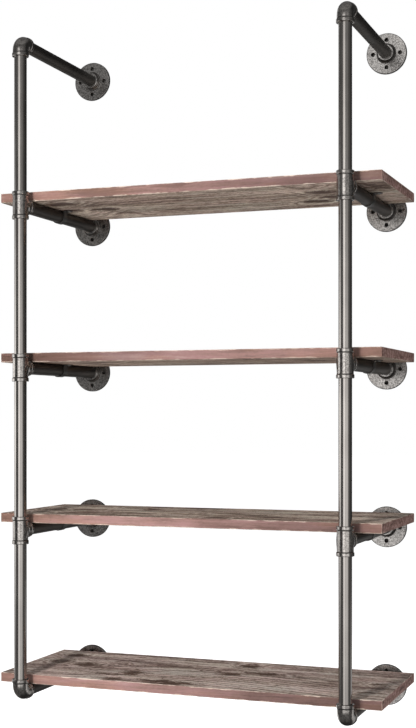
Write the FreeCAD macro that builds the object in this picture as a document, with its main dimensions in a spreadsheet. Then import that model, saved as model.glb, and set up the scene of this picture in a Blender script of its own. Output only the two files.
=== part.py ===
import FreeCAD, Part
import os

import Sketcher

# A wall-hung shelving unit, in millimetres: two uprights of threaded pipe, arms that run back from
# them to flanges on the wall, and wooden boards that lie on the arms and are strapped down to them.
#
# Frame: +X to the right along the boards, +Y into the wall, +Z up. The origin is on the wall's
# face, midway between the two lowest flanges and level with their centres.
#
# Arms are counted from the bottom, 1 to arm_levels. A board lies on every arm but the top one.

SIZES = (
    # the whole frame
    ("arm_levels", 5, "arms on each side, one above the other"),
    ("arm_pitch", 348.5, "from one arm's centre line up to the next"),
    ("upright_spacing", 716.4, "between the centre lines of the two uprights"),
    # pipe and its tapered thread, drawn as a plain cone at the pitch diameter
    ("pipe_diameter", 26.9, "outside of the pipe"),
    ("pipe_wall", 2.6, "pipe's wall"),
    ("thread_step", 0.75, "drop in radius from the pipe's outside to its thread"),
    ("thread_slope", 0.03125, "thread's loss of radius for each millimetre towards the tip"),
    ("thread_past_band", 3.5, "thread that reaches in beyond a fitting's end band"),
    ("thread_clearance", 0.1, "radial gap between a thread and its socket"),
    ("socket_run_out", 0.8, "socket's length past the tip of the pipe"),
    # tees and elbows
    ("socket_floor", 0.55, "from the end of an elbow's bend out to the floor of its socket"),
    ("fitting_wall", 3.2, "how far a fitting's body stands out from the pipe"),
    ("band_height", 1.4, "how far an end band stands out from the body"),
    ("band_length", 7.5, "end band, along the pipe"),
    ("band_rounding", 0.9, "radius on the edges of an end band"),
    ("bend_throat", 0.5, "radius of the inner corner of an elbow"),
    # wall flanges
    ("flange_plate", 6.0, "thickness of the round plate"),
    ("flange_floor", 5.7, "from the wall to the floor of the hub's socket"),
    ("flange_rounding", 1.5, "radius on the plate's front edge"),
    ("hub_wall", 4.2, "hub's rim, out from the pipe"),
    ("hub_flare", 1.8, "extra radius of the hub where it meets the plate"),
    ("hub_rounding", 1.2, "radius on the hub's rim"),
    ("hub_root_rounding", 2.0, "hollow radius between hub and plate"),
    ("wall_hole_count", 4, "screw holes around the flange"),
    ("wall_hole_diameter", 7.0, "screw hole in the flange"),
    ("wall_hole_mouth", 9.6, "width of the countersink"),
    ("wall_hole_hub_gap", 7.3, "from the foot of the hub to the edge of a hole"),
    ("wall_hole_rim_gap", 11.25, "from the edge of a hole to the flange's rim"),
    # boards
    ("board_depth", 308.0, "board, front to back"),
    ("board_thickness", 20.0, "board, top to bottom"),
    ("board_overhang", 65.8, "from an upright's centre line to the board's end"),
    ("board_edge", 0.8, "bevel on the board's edges"),
    ("board_back_gap", 6.5, "from the board's back edge to the rims of the hubs"),
    ("board_front_gap", 3.5, "from the board's front edge to the faces of the fittings"),
    # pipe straps and their screws
    ("strap_thickness", 1.8, "strap's metal"),
    ("strap_width", 19.0, "strap, along the pipe"),
    ("strap_clearance", 0.1, "gap between strap and pipe"),
    ("strap_bend", 2.0, "inside radius where a foot turns out"),
    ("strap_hole_gap", 8.1, "from the strap's leg to the centre of a foot's hole"),
    ("strap_hole_margin", 8.1, "from a foot's hole to the foot's tip"),
    ("strap_corner", 8.5, "radius on the corners of a foot"),
    ("strap_hole_clearance", 0.3, "radial gap between a screw and the strap's hole"),
    ("screw_diameter", 4.0, "strap screw, outside its thread"),
    ("screw_head_diameter", 8.2, "strap screw's head"),
    ("screw_head_height", 2.4, "strap screw's head"),
    ("screw_slot_width", 1.2, "slot across the head"),
    ("screw_slot_depth", 1.1, "slot across the head"),
    ("screw_tip", 3.2, "length of the screw's point"),
    ("screw_cover", 5.5, "wood left above the screw's point"),
    ("pilot_clearance", 0.05, "gap between a screw and its hole in the board"),
)

# Lengths that follow from the sizes, written as expressions for the document to work out.
PIPE_RADIUS = "(Sizes.pipe_diameter / 2)"
BORE_RADIUS = f"({PIPE_RADIUS} - Sizes.pipe_wall)"
THREAD_ROOT_RADIUS = f"({PIPE_RADIUS} - Sizes.thread_step)"
THREAD_LENGTH = "(Sizes.band_length + Sizes.thread_past_band)"
THREAD_TIP_RADIUS = f"({THREAD_ROOT_RADIUS} - Sizes.thread_slope * {THREAD_LENGTH})"
SOCKET_DEPTH = f"({THREAD_LENGTH} + Sizes.socket_run_out)"
SOCKET_MOUTH_RADIUS = f"({THREAD_ROOT_RADIUS} + Sizes.thread_clearance)"
SOCKET_FLOOR_RADIUS = f"({SOCKET_MOUTH_RADIUS} - Sizes.thread_slope * {SOCKET_DEPTH})"

FITTING_RADIUS = f"({PIPE_RADIUS} + Sizes.fitting_wall)"
BEND_RADIUS = f"({FITTING_RADIUS} + Sizes.bend_throat)"
FITTING_FLOOR = f"({BEND_RADIUS} + Sizes.socket_floor)"
FITTING_REACH = f"({FITTING_FLOOR} + {SOCKET_DEPTH})"
BAND_RADIUS = f"({FITTING_RADIUS} + Sizes.band_height)"
BAND_START = f"({FITTING_REACH} - Sizes.band_length)"

FLANGE_HEIGHT = f"(Sizes.flange_floor + {SOCKET_DEPTH})"
HUB_RIM_RADIUS = f"({PIPE_RADIUS} + Sizes.hub_wall)"
HUB_FOOT_RADIUS = f"({HUB_RIM_RADIUS} + Sizes.hub_flare)"
WALL_HOLE_RADIUS = "(Sizes.wall_hole_diameter / 2)"
WALL_HOLE_PLACE = f"({HUB_FOOT_RADIUS} + Sizes.wall_hole_hub_gap + {WALL_HOLE_RADIUS})"
FLANGE_RADIUS = f"({WALL_HOLE_PLACE} + {WALL_HOLE_RADIUS} + Sizes.wall_hole_rim_gap)"

BOARD_LENGTH = "(Sizes.upright_spacing + 2 * Sizes.board_overhang)"
BOARD_BACK = f"({FLANGE_HEIGHT} + Sizes.board_back_gap)"
BOARD_MIDDLE = f"({BOARD_BACK} + Sizes.board_depth / 2)"
ARM_REACH = f"({BOARD_BACK} + Sizes.board_depth + Sizes.board_front_gap + {FITTING_REACH})"
ARM_LENGTH = f"({ARM_REACH} - {FITTING_REACH} - {FLANGE_HEIGHT} + 2 * {THREAD_LENGTH})"
UPRIGHT_LENGTH = f"(Sizes.arm_pitch - 2 * {FITTING_REACH} + 2 * {THREAD_LENGTH})"

STRAP_INSIDE = f"({PIPE_RADIUS} + Sizes.strap_clearance)"
STRAP_OUTSIDE = f"({STRAP_INSIDE} + Sizes.strap_thickness)"
STRAP_HOLE_PLACE = f"({STRAP_OUTSIDE} + Sizes.strap_hole_gap)"
STRAP_TIP = f"({STRAP_HOLE_PLACE} + Sizes.strap_hole_margin)"
SCREW_RADIUS = "(Sizes.screw_diameter / 2)"
SCREW_LENGTH = "(Sizes.strap_thickness + Sizes.board_thickness - Sizes.screw_cover)"

SIDES = {"left": -1, "right": 1}

CUTS = ("PartDesign::Groove", "PartDesign::Pocket", "PartDesign::Hole")


def make_sheet(document):
    """Put every driving size in a spreadsheet cell of its own, under its name."""
    sheet = document.addObject("Spreadsheet::Sheet", "Sizes")
    for row, (name, number, meaning) in enumerate(SIZES, start=1):
        sheet.set(f"A{row}", name)
        sheet.set(f"B{row}", str(number))
        sheet.set(f"C{row}", meaning)
        sheet.setAlias(f"B{row}", name)
    document.recompute()
    return sheet


DOCUMENT = FreeCAD.newDocument("pipe_shelving_unit")
SHEET = make_sheet(DOCUMENT)


def value(expression):
    """The number that an expression has now."""
    result = SHEET.evalExpression(expression)
    return float(getattr(result, "Value", result))


# ---------------------------------------------------------------- bodies, sketches and places


def new_body(label):
    """An empty body under the name of the piece that it will be."""
    body = DOCUMENT.addObject("PartDesign::Body", label)
    body.Label = label
    return body


def origin_feature(body, role):
    """One of the planes or axes of a body's own origin, such as XZ_Plane."""
    return next(item for item in body.Origin.OriginFeatures if item.Role == role)


def new_sketch(body, name, plane, offset=None):
    """A sketch on one of the body's origin planes, or raised off it by an expression."""
    sketch = body.newObject("Sketcher::SketchObject", name)
    sketch.AttachmentSupport = [(origin_feature(body, plane), "")]
    sketch.MapMode = "FlatFace"
    if offset:
        sketch.setExpression("AttachmentOffset.Base.z", offset)
    return sketch


def bind(sketch, kind, *terms, expression):
    """Add a dimension to a sketch and tie it to an expression."""
    index = sketch.addConstraint(Sketcher.Constraint(kind, *terms, value(expression)))
    sketch.setExpression(f"Constraints[{index}]", expression)


def pin(sketch, edge, end, across, up):
    """Hold one point of an edge at a place counted from the sketch's origin."""
    bind(sketch, "DistanceX", -1, 1, edge, end, expression=across)
    bind(sketch, "DistanceY", -1, 1, edge, end, expression=up)


def outline(sketch, corners, half_circles=()):
    """Edges round a closed outline, whose corners are pairs of expressions.

    An edge is straight, unless the index of its first corner is in half_circles. Then it passes
    under the sketch's origin as half a circle about it.
    """
    points = [FreeCAD.Vector(value(across), value(up), 0) for across, up in corners]
    edges = []
    for n, (start, end) in enumerate(zip(points, points[1:] + points[:1])):
        first, last = 1, 2
        if n in half_circles:
            edge = sketch.addGeometry(Part.Arc(start, FreeCAD.Vector(0, -abs(start.x), 0), end))
            sketch.addConstraint(Sketcher.Constraint("PointOnObject", edge, 3, -1))
            if start.x > end.x:  # a sketch's arc always runs anticlockwise
                first, last = 2, 1
        else:
            edge = sketch.addGeometry(Part.LineSegment(start, end))
        edges.append((edge, first, last))
    for (edge, _, last), (next_edge, first, _) in zip(edges, edges[1:] + edges[:1]):
        sketch.addConstraint(Sketcher.Constraint("Coincident", edge, last, next_edge, first))
    for (edge, first, _), (across, up) in zip(edges, corners):
        pin(sketch, edge, first, across, up)


def circle(sketch, across, up, radius):
    """A full circle whose centre and radius are expressions."""
    centre = FreeCAD.Vector(value(across), value(up), 0)
    edge = sketch.addGeometry(Part.Circle(centre, FreeCAD.Vector(0, 0, 1), value(radius)))
    pin(sketch, edge, 3, across, up)
    bind(sketch, "Radius", edge, expression=radius)


def turned(body, name, kind, corners, axis="V_Axis"):
    """Turn an outline on the YZ plane right round one of its sketch's axes."""
    sketch = new_sketch(body, f"{name}_outline", "YZ_Plane")
    outline(sketch, corners)
    feature = body.newObject(f"PartDesign::{kind}", name)
    feature.Profile = sketch
    feature.ReferenceAxis = (sketch, [axis])
    feature.Angle = 360
    return feature


def edges_of(feature, wanted):
    """Names of the edges of a feature's shape for which wanted(edge) holds."""
    DOCUMENT.recompute()
    return [f"Edge{n}" for n, edge in enumerate(feature.Shape.Edges, start=1) if wanted(edge)]


def is_circle(edge, radius):
    """Is this edge part of a circle of that radius?"""
    curve = edge.Curve
    return isinstance(curve, Part.Circle) and abs(curve.Radius - value(radius)) < 1e-4


def rounded(body, name, feature, wanted, radius):
    """Round the chosen edges of a feature."""
    fillet = body.newObject("PartDesign::Fillet", name)
    fillet.Base = (feature, edges_of(feature, wanted))
    fillet.setExpression("Radius", radius)
    return fillet


def place(body, across, depth, height, turn=None):
    """Put a body in the unit's frame; depth counts from the wall towards the room."""
    body.Placement = FreeCAD.Placement(FreeCAD.Vector(), turn or FreeCAD.Rotation())
    body.setExpression("Placement.Base.x", across)
    body.setExpression("Placement.Base.y", f"-({depth})")
    body.setExpression("Placement.Base.z", height)


def upright_line(side):
    """Where the upright on this side stands, across the unit."""
    return f"{SIDES[side]} * Sizes.upright_spacing / 2"


def arm_line(level):
    """Height of the arms' centre lines at a level, the lowest of which is 1."""
    return f"{level - 1} * Sizes.arm_pitch"


# ---------------------------------------------------------------- pipe


def make_pipe(label, length):
    """A pipe along its own Z, bored through, with a tapered thread cut on each end."""
    body = new_body(label)
    far_shoulder = f"{length} - {THREAD_LENGTH}"
    wall = (
        (BORE_RADIUS, "0"),
        (THREAD_TIP_RADIUS, "0"),
        (THREAD_ROOT_RADIUS, THREAD_LENGTH),
        (PIPE_RADIUS, THREAD_LENGTH),
        (PIPE_RADIUS, far_shoulder),
        (THREAD_ROOT_RADIUS, far_shoulder),
        (THREAD_TIP_RADIUS, length),
        (BORE_RADIUS, length),
    )
    turned(body, f"{label}_wall", "Revolution", wall)
    return body


def make_upright_pipe(side, level):
    """The length of upright between the fittings of one arm and the next arm up."""
    body = make_pipe(f"{side}_upright_pipe_{level}", UPRIGHT_LENGTH)
    lower_end = f"{arm_line(level)} + {FITTING_REACH} - {THREAD_LENGTH}"
    place(body, upright_line(side), ARM_REACH, lower_end)
    return body


def make_arm_pipe(side, level):
    """The pipe that runs from an upright's fitting back into a wall flange."""
    body = make_pipe(f"{side}_arm_pipe_{level}", ARM_LENGTH)
    front_end = f"{ARM_REACH} - {FITTING_REACH} + {THREAD_LENGTH}"
    towards_wall = FreeCAD.Rotation(FreeCAD.Vector(1, 0, 0), -90)
    place(body, upright_line(side), front_end, arm_line(level), towards_wall)
    return body


# ---------------------------------------------------------------- tees and elbows

# A leg's points are (radius, distance out from the fitting's centre); each entry here lays them
# out on the YZ plane and names the sketch axis that the leg is turned about.
LEGS = {
    "up": (lambda radius, out: (radius, out), "V_Axis"),
    "down": (lambda radius, out: (radius, f"-({out})"), "V_Axis"),
    "back": (lambda radius, out: (out, radius), "H_Axis"),
}


def add_leg(body, direction, start):
    """A fitting's outside, from start out to the face of its end band."""
    lay_out, axis = LEGS[direction]
    profile = (
        ("0", start),
        (FITTING_RADIUS, start),
        (FITTING_RADIUS, BAND_START),
        (BAND_RADIUS, BAND_START),
        (BAND_RADIUS, FITTING_REACH),
        ("0", FITTING_REACH),
    )
    corners = [lay_out(radius, out) for radius, out in profile]
    return turned(body, f"{body.Name}_{direction}_leg", "Revolution", corners, axis)


def bore_leg(body, direction, start):
    """The tapered socket in a leg's face, and the passage from it back to start."""
    lay_out, axis = LEGS[direction]
    profile = (
        ("0", start),
        (BORE_RADIUS, start),
        (BORE_RADIUS, FITTING_FLOOR),
        (SOCKET_FLOOR_RADIUS, FITTING_FLOOR),
        (SOCKET_MOUTH_RADIUS, FITTING_REACH),
        ("0", FITTING_REACH),
    )
    corners = [lay_out(radius, out) for radius, out in profile]
    return turned(body, f"{body.Name}_{direction}_socket", "Groove", corners, axis)


def round_bands(body, feature):
    """Round both edges of every end band."""
    return rounded(
        body,
        f"{body.Name}_band_rounding",
        feature,
        lambda edge: is_circle(edge, BAND_RADIUS),
        "min(Sizes.band_rounding; 0.8 * Sizes.band_height; 0.45 * Sizes.band_length)",
    )


def bend(body, kind, radius):
    """A quarter turn of round section, from the leg that points down to the one that points back."""
    name = f"{body.Name}_{kind.lower()}_bend"
    sketch = new_sketch(body, f"{name}_section", "XY_Plane", f"-{BEND_RADIUS}")
    circle(sketch, "0", "0", radius)
    axis_ends = (FreeCAD.Vector(-1, value(BEND_RADIUS), 0), FreeCAD.Vector(1, value(BEND_RADIUS), 0))
    axis = sketch.addGeometry(Part.LineSegment(*axis_ends), True)
    pin(sketch, axis, 1, "-1", BEND_RADIUS)
    pin(sketch, axis, 2, "1", BEND_RADIUS)
    feature = body.newObject(f"PartDesign::{kind}", name)
    feature.Profile = sketch
    feature.ReferenceAxis = (sketch, ["Axis0"])
    feature.Angle = 90
    feature.Reversed = True
    return feature


def make_tee(side, level):
    """The fitting on an upright from which an arm runs back."""
    body = new_body(f"{side}_tee_{level}")
    for direction in LEGS:
        outside = add_leg(body, direction, "0")
    round_bands(body, outside)
    for direction in LEGS:
        bore_leg(body, direction, "0")
    place(body, upright_line(side), ARM_REACH, arm_line(level))
    return body


def make_elbow(label, side, level, turn=None):
    """A right-angled fitting between an upright's end and an arm; unturned, the upright is below."""
    body = new_body(label)
    bend(body, "Revolution", FITTING_RADIUS)
    add_leg(body, "down", BEND_RADIUS)
    outside = add_leg(body, "back", BEND_RADIUS)
    round_bands(body, outside)
    bend(body, "Groove", BORE_RADIUS)
    bore_leg(body, "down", BEND_RADIUS)
    bore_leg(body, "back", BEND_RADIUS)
    place(body, upright_line(side), ARM_REACH, arm_line(level), turn)
    return body


# ---------------------------------------------------------------- wall flanges


def make_wall_flange(side, level):
    """A round plate on the wall with a threaded hub towards the room, and screw holes around it."""
    body = new_body(f"{side}_wall_flange_{level}")
    blank = turned(
        body,
        f"{body.Name}_blank",
        "Revolution",
        (
            ("0", "0"),
            (FLANGE_RADIUS, "0"),
            (FLANGE_RADIUS, "Sizes.flange_plate"),
            (HUB_FOOT_RADIUS, "Sizes.flange_plate"),
            (HUB_RIM_RADIUS, FLANGE_HEIGHT),
            ("0", FLANGE_HEIGHT),
        ),
    )

    def at_height(edge, radius, height):
        return is_circle(edge, radius) and abs(edge.Curve.Center.z - value(height)) < 1e-4

    plate_edge = rounded(
        body,
        f"{body.Name}_plate_rounding",
        blank,
        lambda edge: at_height(edge, FLANGE_RADIUS, "Sizes.flange_plate"),
        "min(Sizes.flange_rounding; 0.8 * Sizes.flange_plate)",
    )
    root = rounded(
        body,
        f"{body.Name}_hub_root",
        plate_edge,
        lambda edge: at_height(edge, HUB_FOOT_RADIUS, "Sizes.flange_plate"),
        "min(Sizes.hub_root_rounding; 0.4 * Sizes.wall_hole_hub_gap)",
    )
    rounded(
        body,
        f"{body.Name}_hub_rim",
        root,
        lambda edge: at_height(edge, HUB_RIM_RADIUS, FLANGE_HEIGHT),
        "min(Sizes.hub_rounding; 0.4 * Sizes.hub_wall)",
    )
    turned(
        body,
        f"{body.Name}_socket",
        "Groove",
        (
            ("0", "0"),
            (BORE_RADIUS, "0"),
            (BORE_RADIUS, "Sizes.flange_floor"),
            (SOCKET_FLOOR_RADIUS, "Sizes.flange_floor"),
            (SOCKET_MOUTH_RADIUS, FLANGE_HEIGHT),
            ("0", FLANGE_HEIGHT),
        ),
    )
    drill_wall_holes(body)
    towards_room = FreeCAD.Rotation(FreeCAD.Vector(1, 0, 0), 90)
    place(body, upright_line(side), "0", arm_line(level), towards_room)
    return body


def drill_wall_holes(body):
    """Countersunk screw holes through a flange's plate, evenly round its hub."""
    sketch = new_sketch(body, f"{body.Name}_hole_place", "XY_Plane", "Sizes.flange_plate")
    circle(sketch, WALL_HOLE_PLACE, "0", WALL_HOLE_RADIUS)
    DOCUMENT.recompute()
    hole = body.newObject("PartDesign::Hole", f"{body.Name}_hole")
    hole.Profile = sketch
    hole.Threaded = False
    hole.DepthType = "ThroughAll"
    hole.HoleCutType = "Countersink"
    hole.HoleCutCountersinkAngle = 90
    hole.setExpression("Diameter", "Sizes.wall_hole_diameter")
    hole.setExpression("HoleCutDiameter", "Sizes.wall_hole_mouth")
    pattern = body.newObject("PartDesign::PolarPattern", f"{body.Name}_holes")
    pattern.Originals = [hole]
    pattern.Axis = (origin_feature(body, "Z_Axis"), [""])
    pattern.Angle = 360
    pattern.setExpression("Occurrences", "Sizes.wall_hole_count")
    body.Tip = pattern


# ---------------------------------------------------------------- boards, straps and screws


def screw_places():
    """Where the strap screws go up into a board, across the unit from its middle."""
    return [
        f"{upright_line(side)} + {way} * {STRAP_HOLE_PLACE}" for side in SIDES for way in (-1, 1)
    ]


def make_board(level):
    """One wooden board, lying on the pipes of a level, with pilot holes for the strap screws."""
    body = new_body(f"shelf_board_{level}")
    half_length = f"{BOARD_LENGTH} / 2"
    half_depth = "Sizes.board_depth / 2"
    sketch = new_sketch(body, f"{body.Name}_outline", "XY_Plane")
    outline(
        sketch,
        (
            (f"-{half_length}", f"-{half_depth}"),
            (half_length, f"-{half_depth}"),
            (half_length, half_depth),
            (f"-{half_length}", half_depth),
        ),
    )
    blank = body.newObject("PartDesign::Pad", f"{body.Name}_blank")
    blank.Profile = sketch
    blank.setExpression("Length", "Sizes.board_thickness")
    edges = body.newObject("PartDesign::Chamfer", f"{body.Name}_edges")
    edges.Base = (blank, edges_of(blank, lambda edge: True))
    edges.setExpression("Size", "Sizes.board_edge")

    pilot_sketch = new_sketch(body, f"{body.Name}_pilot_places", "XY_Plane")
    for across in screw_places():
        circle(pilot_sketch, across, "0", f"{SCREW_RADIUS} + Sizes.pilot_clearance")
    pilots = body.newObject("PartDesign::Pocket", f"{body.Name}_pilots")
    pilots.Profile = pilot_sketch
    pilots.Reversed = True
    depth = f"{SCREW_LENGTH} - Sizes.strap_thickness + Sizes.pilot_clearance"
    pilots.setExpression("Length", depth)
    place(body, "0", BOARD_MIDDLE, f"{arm_line(level)} + {PIPE_RADIUS}")
    return body


def make_strap(side, level):
    """A two-hole strap, hung round the underside of an arm with its feet against the board."""
    body = new_body(f"{side}_strap_{level}")
    sketch = new_sketch(body, f"{body.Name}_outline", "XZ_Plane")
    foot_under = f"{PIPE_RADIUS} - Sizes.strap_thickness"
    corners = (
        (f"-{STRAP_OUTSIDE}", "0"),
        (f"-{STRAP_OUTSIDE}", foot_under),
        (f"-{STRAP_TIP}", foot_under),
        (f"-{STRAP_TIP}", PIPE_RADIUS),
        (f"-{STRAP_INSIDE}", PIPE_RADIUS),
        (f"-{STRAP_INSIDE}", "0"),
        (STRAP_INSIDE, "0"),
        (STRAP_INSIDE, PIPE_RADIUS),
        (STRAP_TIP, PIPE_RADIUS),
        (STRAP_TIP, foot_under),
        (STRAP_OUTSIDE, foot_under),
        (STRAP_OUTSIDE, "0"),
    )
    outline(sketch, corners, half_circles=(5, 11))
    bar = body.newObject("PartDesign::Pad", f"{body.Name}_bar")
    bar.Profile = sketch
    bar.Midplane = True
    bar.setExpression("Length", "Sizes.strap_width")

    def runs_along_pipe(edge, across, height):
        middle = edge.BoundBox.Center
        flat = edge.BoundBox.XLength < 1e-4 and edge.BoundBox.ZLength < 1e-4
        return (
            flat
            and abs(abs(middle.x) - value(across)) < 1e-4
            and abs(middle.z - value(height)) < 1e-4
        )

    inner = rounded(
        body,
        f"{body.Name}_inner_bend",
        bar,
        lambda edge: runs_along_pipe(edge, STRAP_OUTSIDE, foot_under),
        "Sizes.strap_bend",
    )
    outer = rounded(
        body,
        f"{body.Name}_outer_bend",
        inner,
        lambda edge: runs_along_pipe(edge, STRAP_INSIDE, PIPE_RADIUS),
        "Sizes.strap_bend + Sizes.strap_thickness",
    )
    rounded(
        body,
        f"{body.Name}_foot_corners",
        outer,
        lambda edge: (
            edge.BoundBox.XLength + edge.BoundBox.YLength < 1e-4
            and abs(abs(edge.BoundBox.Center.x) - value(STRAP_TIP)) < 1e-4
        ),
        "min(Sizes.strap_corner; 0.45 * Sizes.strap_width)",
    )

    hole_sketch = new_sketch(body, f"{body.Name}_hole_places", "XY_Plane")
    for way in (-1, 1):
        radius = f"{SCREW_RADIUS} + Sizes.strap_hole_clearance"
        circle(hole_sketch, f"{way} * {STRAP_HOLE_PLACE}", "0", radius)
    holes = body.newObject("PartDesign::Pocket", f"{body.Name}_holes")
    holes.Profile = hole_sketch
    holes.Type = "ThroughAll"
    holes.Reversed = True
    place(body, upright_line(side), BOARD_MIDDLE, arm_line(level))
    return body


def make_strap_screws(level):
    """The four slotted wood screws that hold a board's two straps, points up."""
    body = new_body(f"strap_screws_{level}")
    under_head = f"{PIPE_RADIUS} - Sizes.strap_thickness"
    head_radius = "Sizes.screw_head_diameter / 2"
    screw = turned(
        body,
        f"{body.Name}_screw",
        "Revolution",
        (
            ("0", "-Sizes.screw_head_height"),
            (f"0.6 * {head_radius}", "-Sizes.screw_head_height"),
            (head_radius, "-0.4 * Sizes.screw_head_height"),
            (head_radius, "0"),
            (SCREW_RADIUS, "0"),
            (SCREW_RADIUS, f"{SCREW_LENGTH} - Sizes.screw_tip"),
            ("0", SCREW_LENGTH),
        ),
    )
    slot = screw_slot(body)
    pattern = body.newObject("PartDesign::MultiTransform", f"{body.Name}_pattern")
    rows = []
    for name, length in (("feet", f"2 * {STRAP_HOLE_PLACE}"), ("sides", "Sizes.upright_spacing")):
        row = body.newObject("PartDesign::LinearPattern", f"{body.Name}_{name}")
        row.Direction = (origin_feature(body, "X_Axis"), [""])
        row.Occurrences = 2
        row.setExpression("Length", length)
        rows.append(row)
    pattern.Originals = [screw, slot]
    pattern.Transformations = rows
    body.Tip = pattern
    place(body, screw_places()[0], BOARD_MIDDLE, f"{arm_line(level)} + {under_head}")
    return body


def screw_slot(body):
    """The slot across a screw's head, cut up from the head's top."""
    sketch = new_sketch(body, f"{body.Name}_slot_outline", "XY_Plane", "-Sizes.screw_head_height")
    half_length = "Sizes.screw_head_diameter"
    half_width = "Sizes.screw_slot_width / 2"
    outline(
        sketch,
        (
            (f"-{half_length}", f"-{half_width}"),
            (half_length, f"-{half_width}"),
            (half_length, half_width),
            (f"-{half_length}", half_width),
        ),
    )
    slot = body.newObject("PartDesign::Pocket", f"{body.Name}_slot")
    slot.Profile = sketch
    slot.Reversed = True
    slot.setExpression("Length", "Sizes.screw_slot_depth")
    return slot


# ---------------------------------------------------------------- the whole unit


def make_side(side):
    """Everything on one side of the unit but the boards and their screws."""
    top = int(value("Sizes.arm_levels"))
    upside_down = FreeCAD.Rotation(FreeCAD.Vector(0, 1, 0), 180)
    pieces = [
        make_elbow(f"{side}_bottom_elbow", side, 1, upside_down),
        make_elbow(f"{side}_top_elbow", side, top),
    ]
    for level in range(2, top):
        pieces.append(make_tee(side, level))
    for level in range(1, top):
        pieces.append(make_upright_pipe(side, level))
        pieces.append(make_strap(side, level))
    for level in range(1, top + 1):
        pieces.append(make_arm_pipe(side, level))
        pieces.append(make_wall_flange(side, level))
    return pieces


def make_unit():
    """Every piece of the unit."""
    pieces = make_side("left") + make_side("right")
    for level in range(1, int(value("Sizes.arm_levels"))):
        pieces.append(make_board(level))
        pieces.append(make_strap_screws(level))
    return pieces


def check_document():
    """Stop if any object of the document failed to compute."""
    for item in DOCUMENT.Objects:
        if "Invalid" in item.State or "Error" in item.State:
            raise RuntimeError(f"{item.Name} failed: {item.State}")


def check_piece(body):
    """Stop if a piece is empty or faulty, or if one of its cuts took nothing away."""
    if body.Shape.isNull() or not body.Shape.isValid():
        raise RuntimeError(f"{body.Label} has no valid shape")
    before = None
    for feature in body.Group:
        if feature.isDerivedFrom("PartDesign::Feature") and not feature.Shape.isNull():
            if feature.TypeId in CUTS and feature.Shape.Volume > before - 1e-3:
                raise RuntimeError(f"{feature.Name} cuts nothing")
            before = feature.Shape.Volume


def main():
    """Build the unit, check it and write one STEP file for each piece."""
    pieces = make_unit()
    DOCUMENT.recompute()
    check_document()
    for body in pieces:
        check_piece(body)
    os.makedirs("parts", exist_ok=True)
    for body in pieces:
        body.Shape.exportStep(f"parts/{body.Label}.step")
    print(f"{len(pieces)} pieces written")


main()
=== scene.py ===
"""Finishes and detailed pieces of a wall-hung pipe shelving unit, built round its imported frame.

Everything is in metres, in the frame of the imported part: +X runs along the boards, +Y goes into
the wall and +Z is up. The origin lies on the wall, midway between the two lowest flanges.
"""

from __future__ import annotations

import logging
import math
from collections.abc import Mapping, Sequence
from dataclasses import dataclass
from enum import Enum
from functools import cached_property, reduce

import bpy
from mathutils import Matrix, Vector

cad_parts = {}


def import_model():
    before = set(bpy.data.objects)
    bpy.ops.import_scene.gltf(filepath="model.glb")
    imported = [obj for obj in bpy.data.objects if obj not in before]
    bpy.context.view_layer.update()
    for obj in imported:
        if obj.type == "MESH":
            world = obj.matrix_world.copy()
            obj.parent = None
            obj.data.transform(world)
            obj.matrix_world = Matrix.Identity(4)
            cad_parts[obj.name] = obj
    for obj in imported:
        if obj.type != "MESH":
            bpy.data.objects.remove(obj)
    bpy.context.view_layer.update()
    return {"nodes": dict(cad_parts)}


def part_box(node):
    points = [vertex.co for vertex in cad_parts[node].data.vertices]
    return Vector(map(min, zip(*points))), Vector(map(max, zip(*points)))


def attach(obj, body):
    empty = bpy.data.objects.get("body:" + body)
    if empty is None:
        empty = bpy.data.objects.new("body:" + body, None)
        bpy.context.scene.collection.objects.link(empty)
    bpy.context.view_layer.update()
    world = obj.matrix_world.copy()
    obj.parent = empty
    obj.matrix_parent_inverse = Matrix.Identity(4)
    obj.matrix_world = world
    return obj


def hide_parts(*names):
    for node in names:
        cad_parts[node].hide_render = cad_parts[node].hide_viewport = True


LOG = logging.getLogger("pipe_shelving_unit")
BODY = "root"
MM_PER_METRE = 1000.0
Colour = tuple[float, float, float]
Triple = tuple[float, float, float]
Stops = tuple[tuple[float, Colour], ...]


# ------------------------------------------------------------------ node trees


@dataclass(frozen=True)
class Field:
    """A number that varies from point to point, held as one output of a node tree.

    Fields add, subtract and multiply with each other and with plain numbers, and each such step
    adds a Math node to the tree.
    """

    graph: Graph
    socket: bpy.types.NodeSocket

    def __add__(self, other: Field | float) -> Field:
        """The sum of two fields."""
        return self.graph.math("ADD", self, other)

    def __sub__(self, other: Field | float) -> Field:
        """This field less another."""
        return self.graph.math("SUBTRACT", self, other)

    def __rsub__(self, other: float) -> Field:
        """A plain number less this field."""
        return self.graph.math("SUBTRACT", other, self)

    def __mul__(self, other: Field | float) -> Field:
        """The product of two fields."""
        return self.graph.math("MULTIPLY", self, other)

    def __truediv__(self, other: Field | float) -> Field:
        """This field divided by another."""
        return self.graph.math("DIVIDE", self, other)

    def __neg__(self) -> Field:
        """This field with its sign changed."""
        return self.graph.math("MULTIPLY", self, -1.0)

    def __abs__(self) -> Field:
        """This field without its sign."""
        return self.graph.math("ABSOLUTE", self)


@dataclass(frozen=True)
class Fade:
    """How an effect sets in along a field: where it starts, where it is full, and its share."""

    start: float
    full: float
    share: float = 1.0

    def of(self, value: Field) -> Field:
        """The effect for a field, from 0 to its share."""
        return value.graph.step(value, self.start, self.full) * self.share


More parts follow.
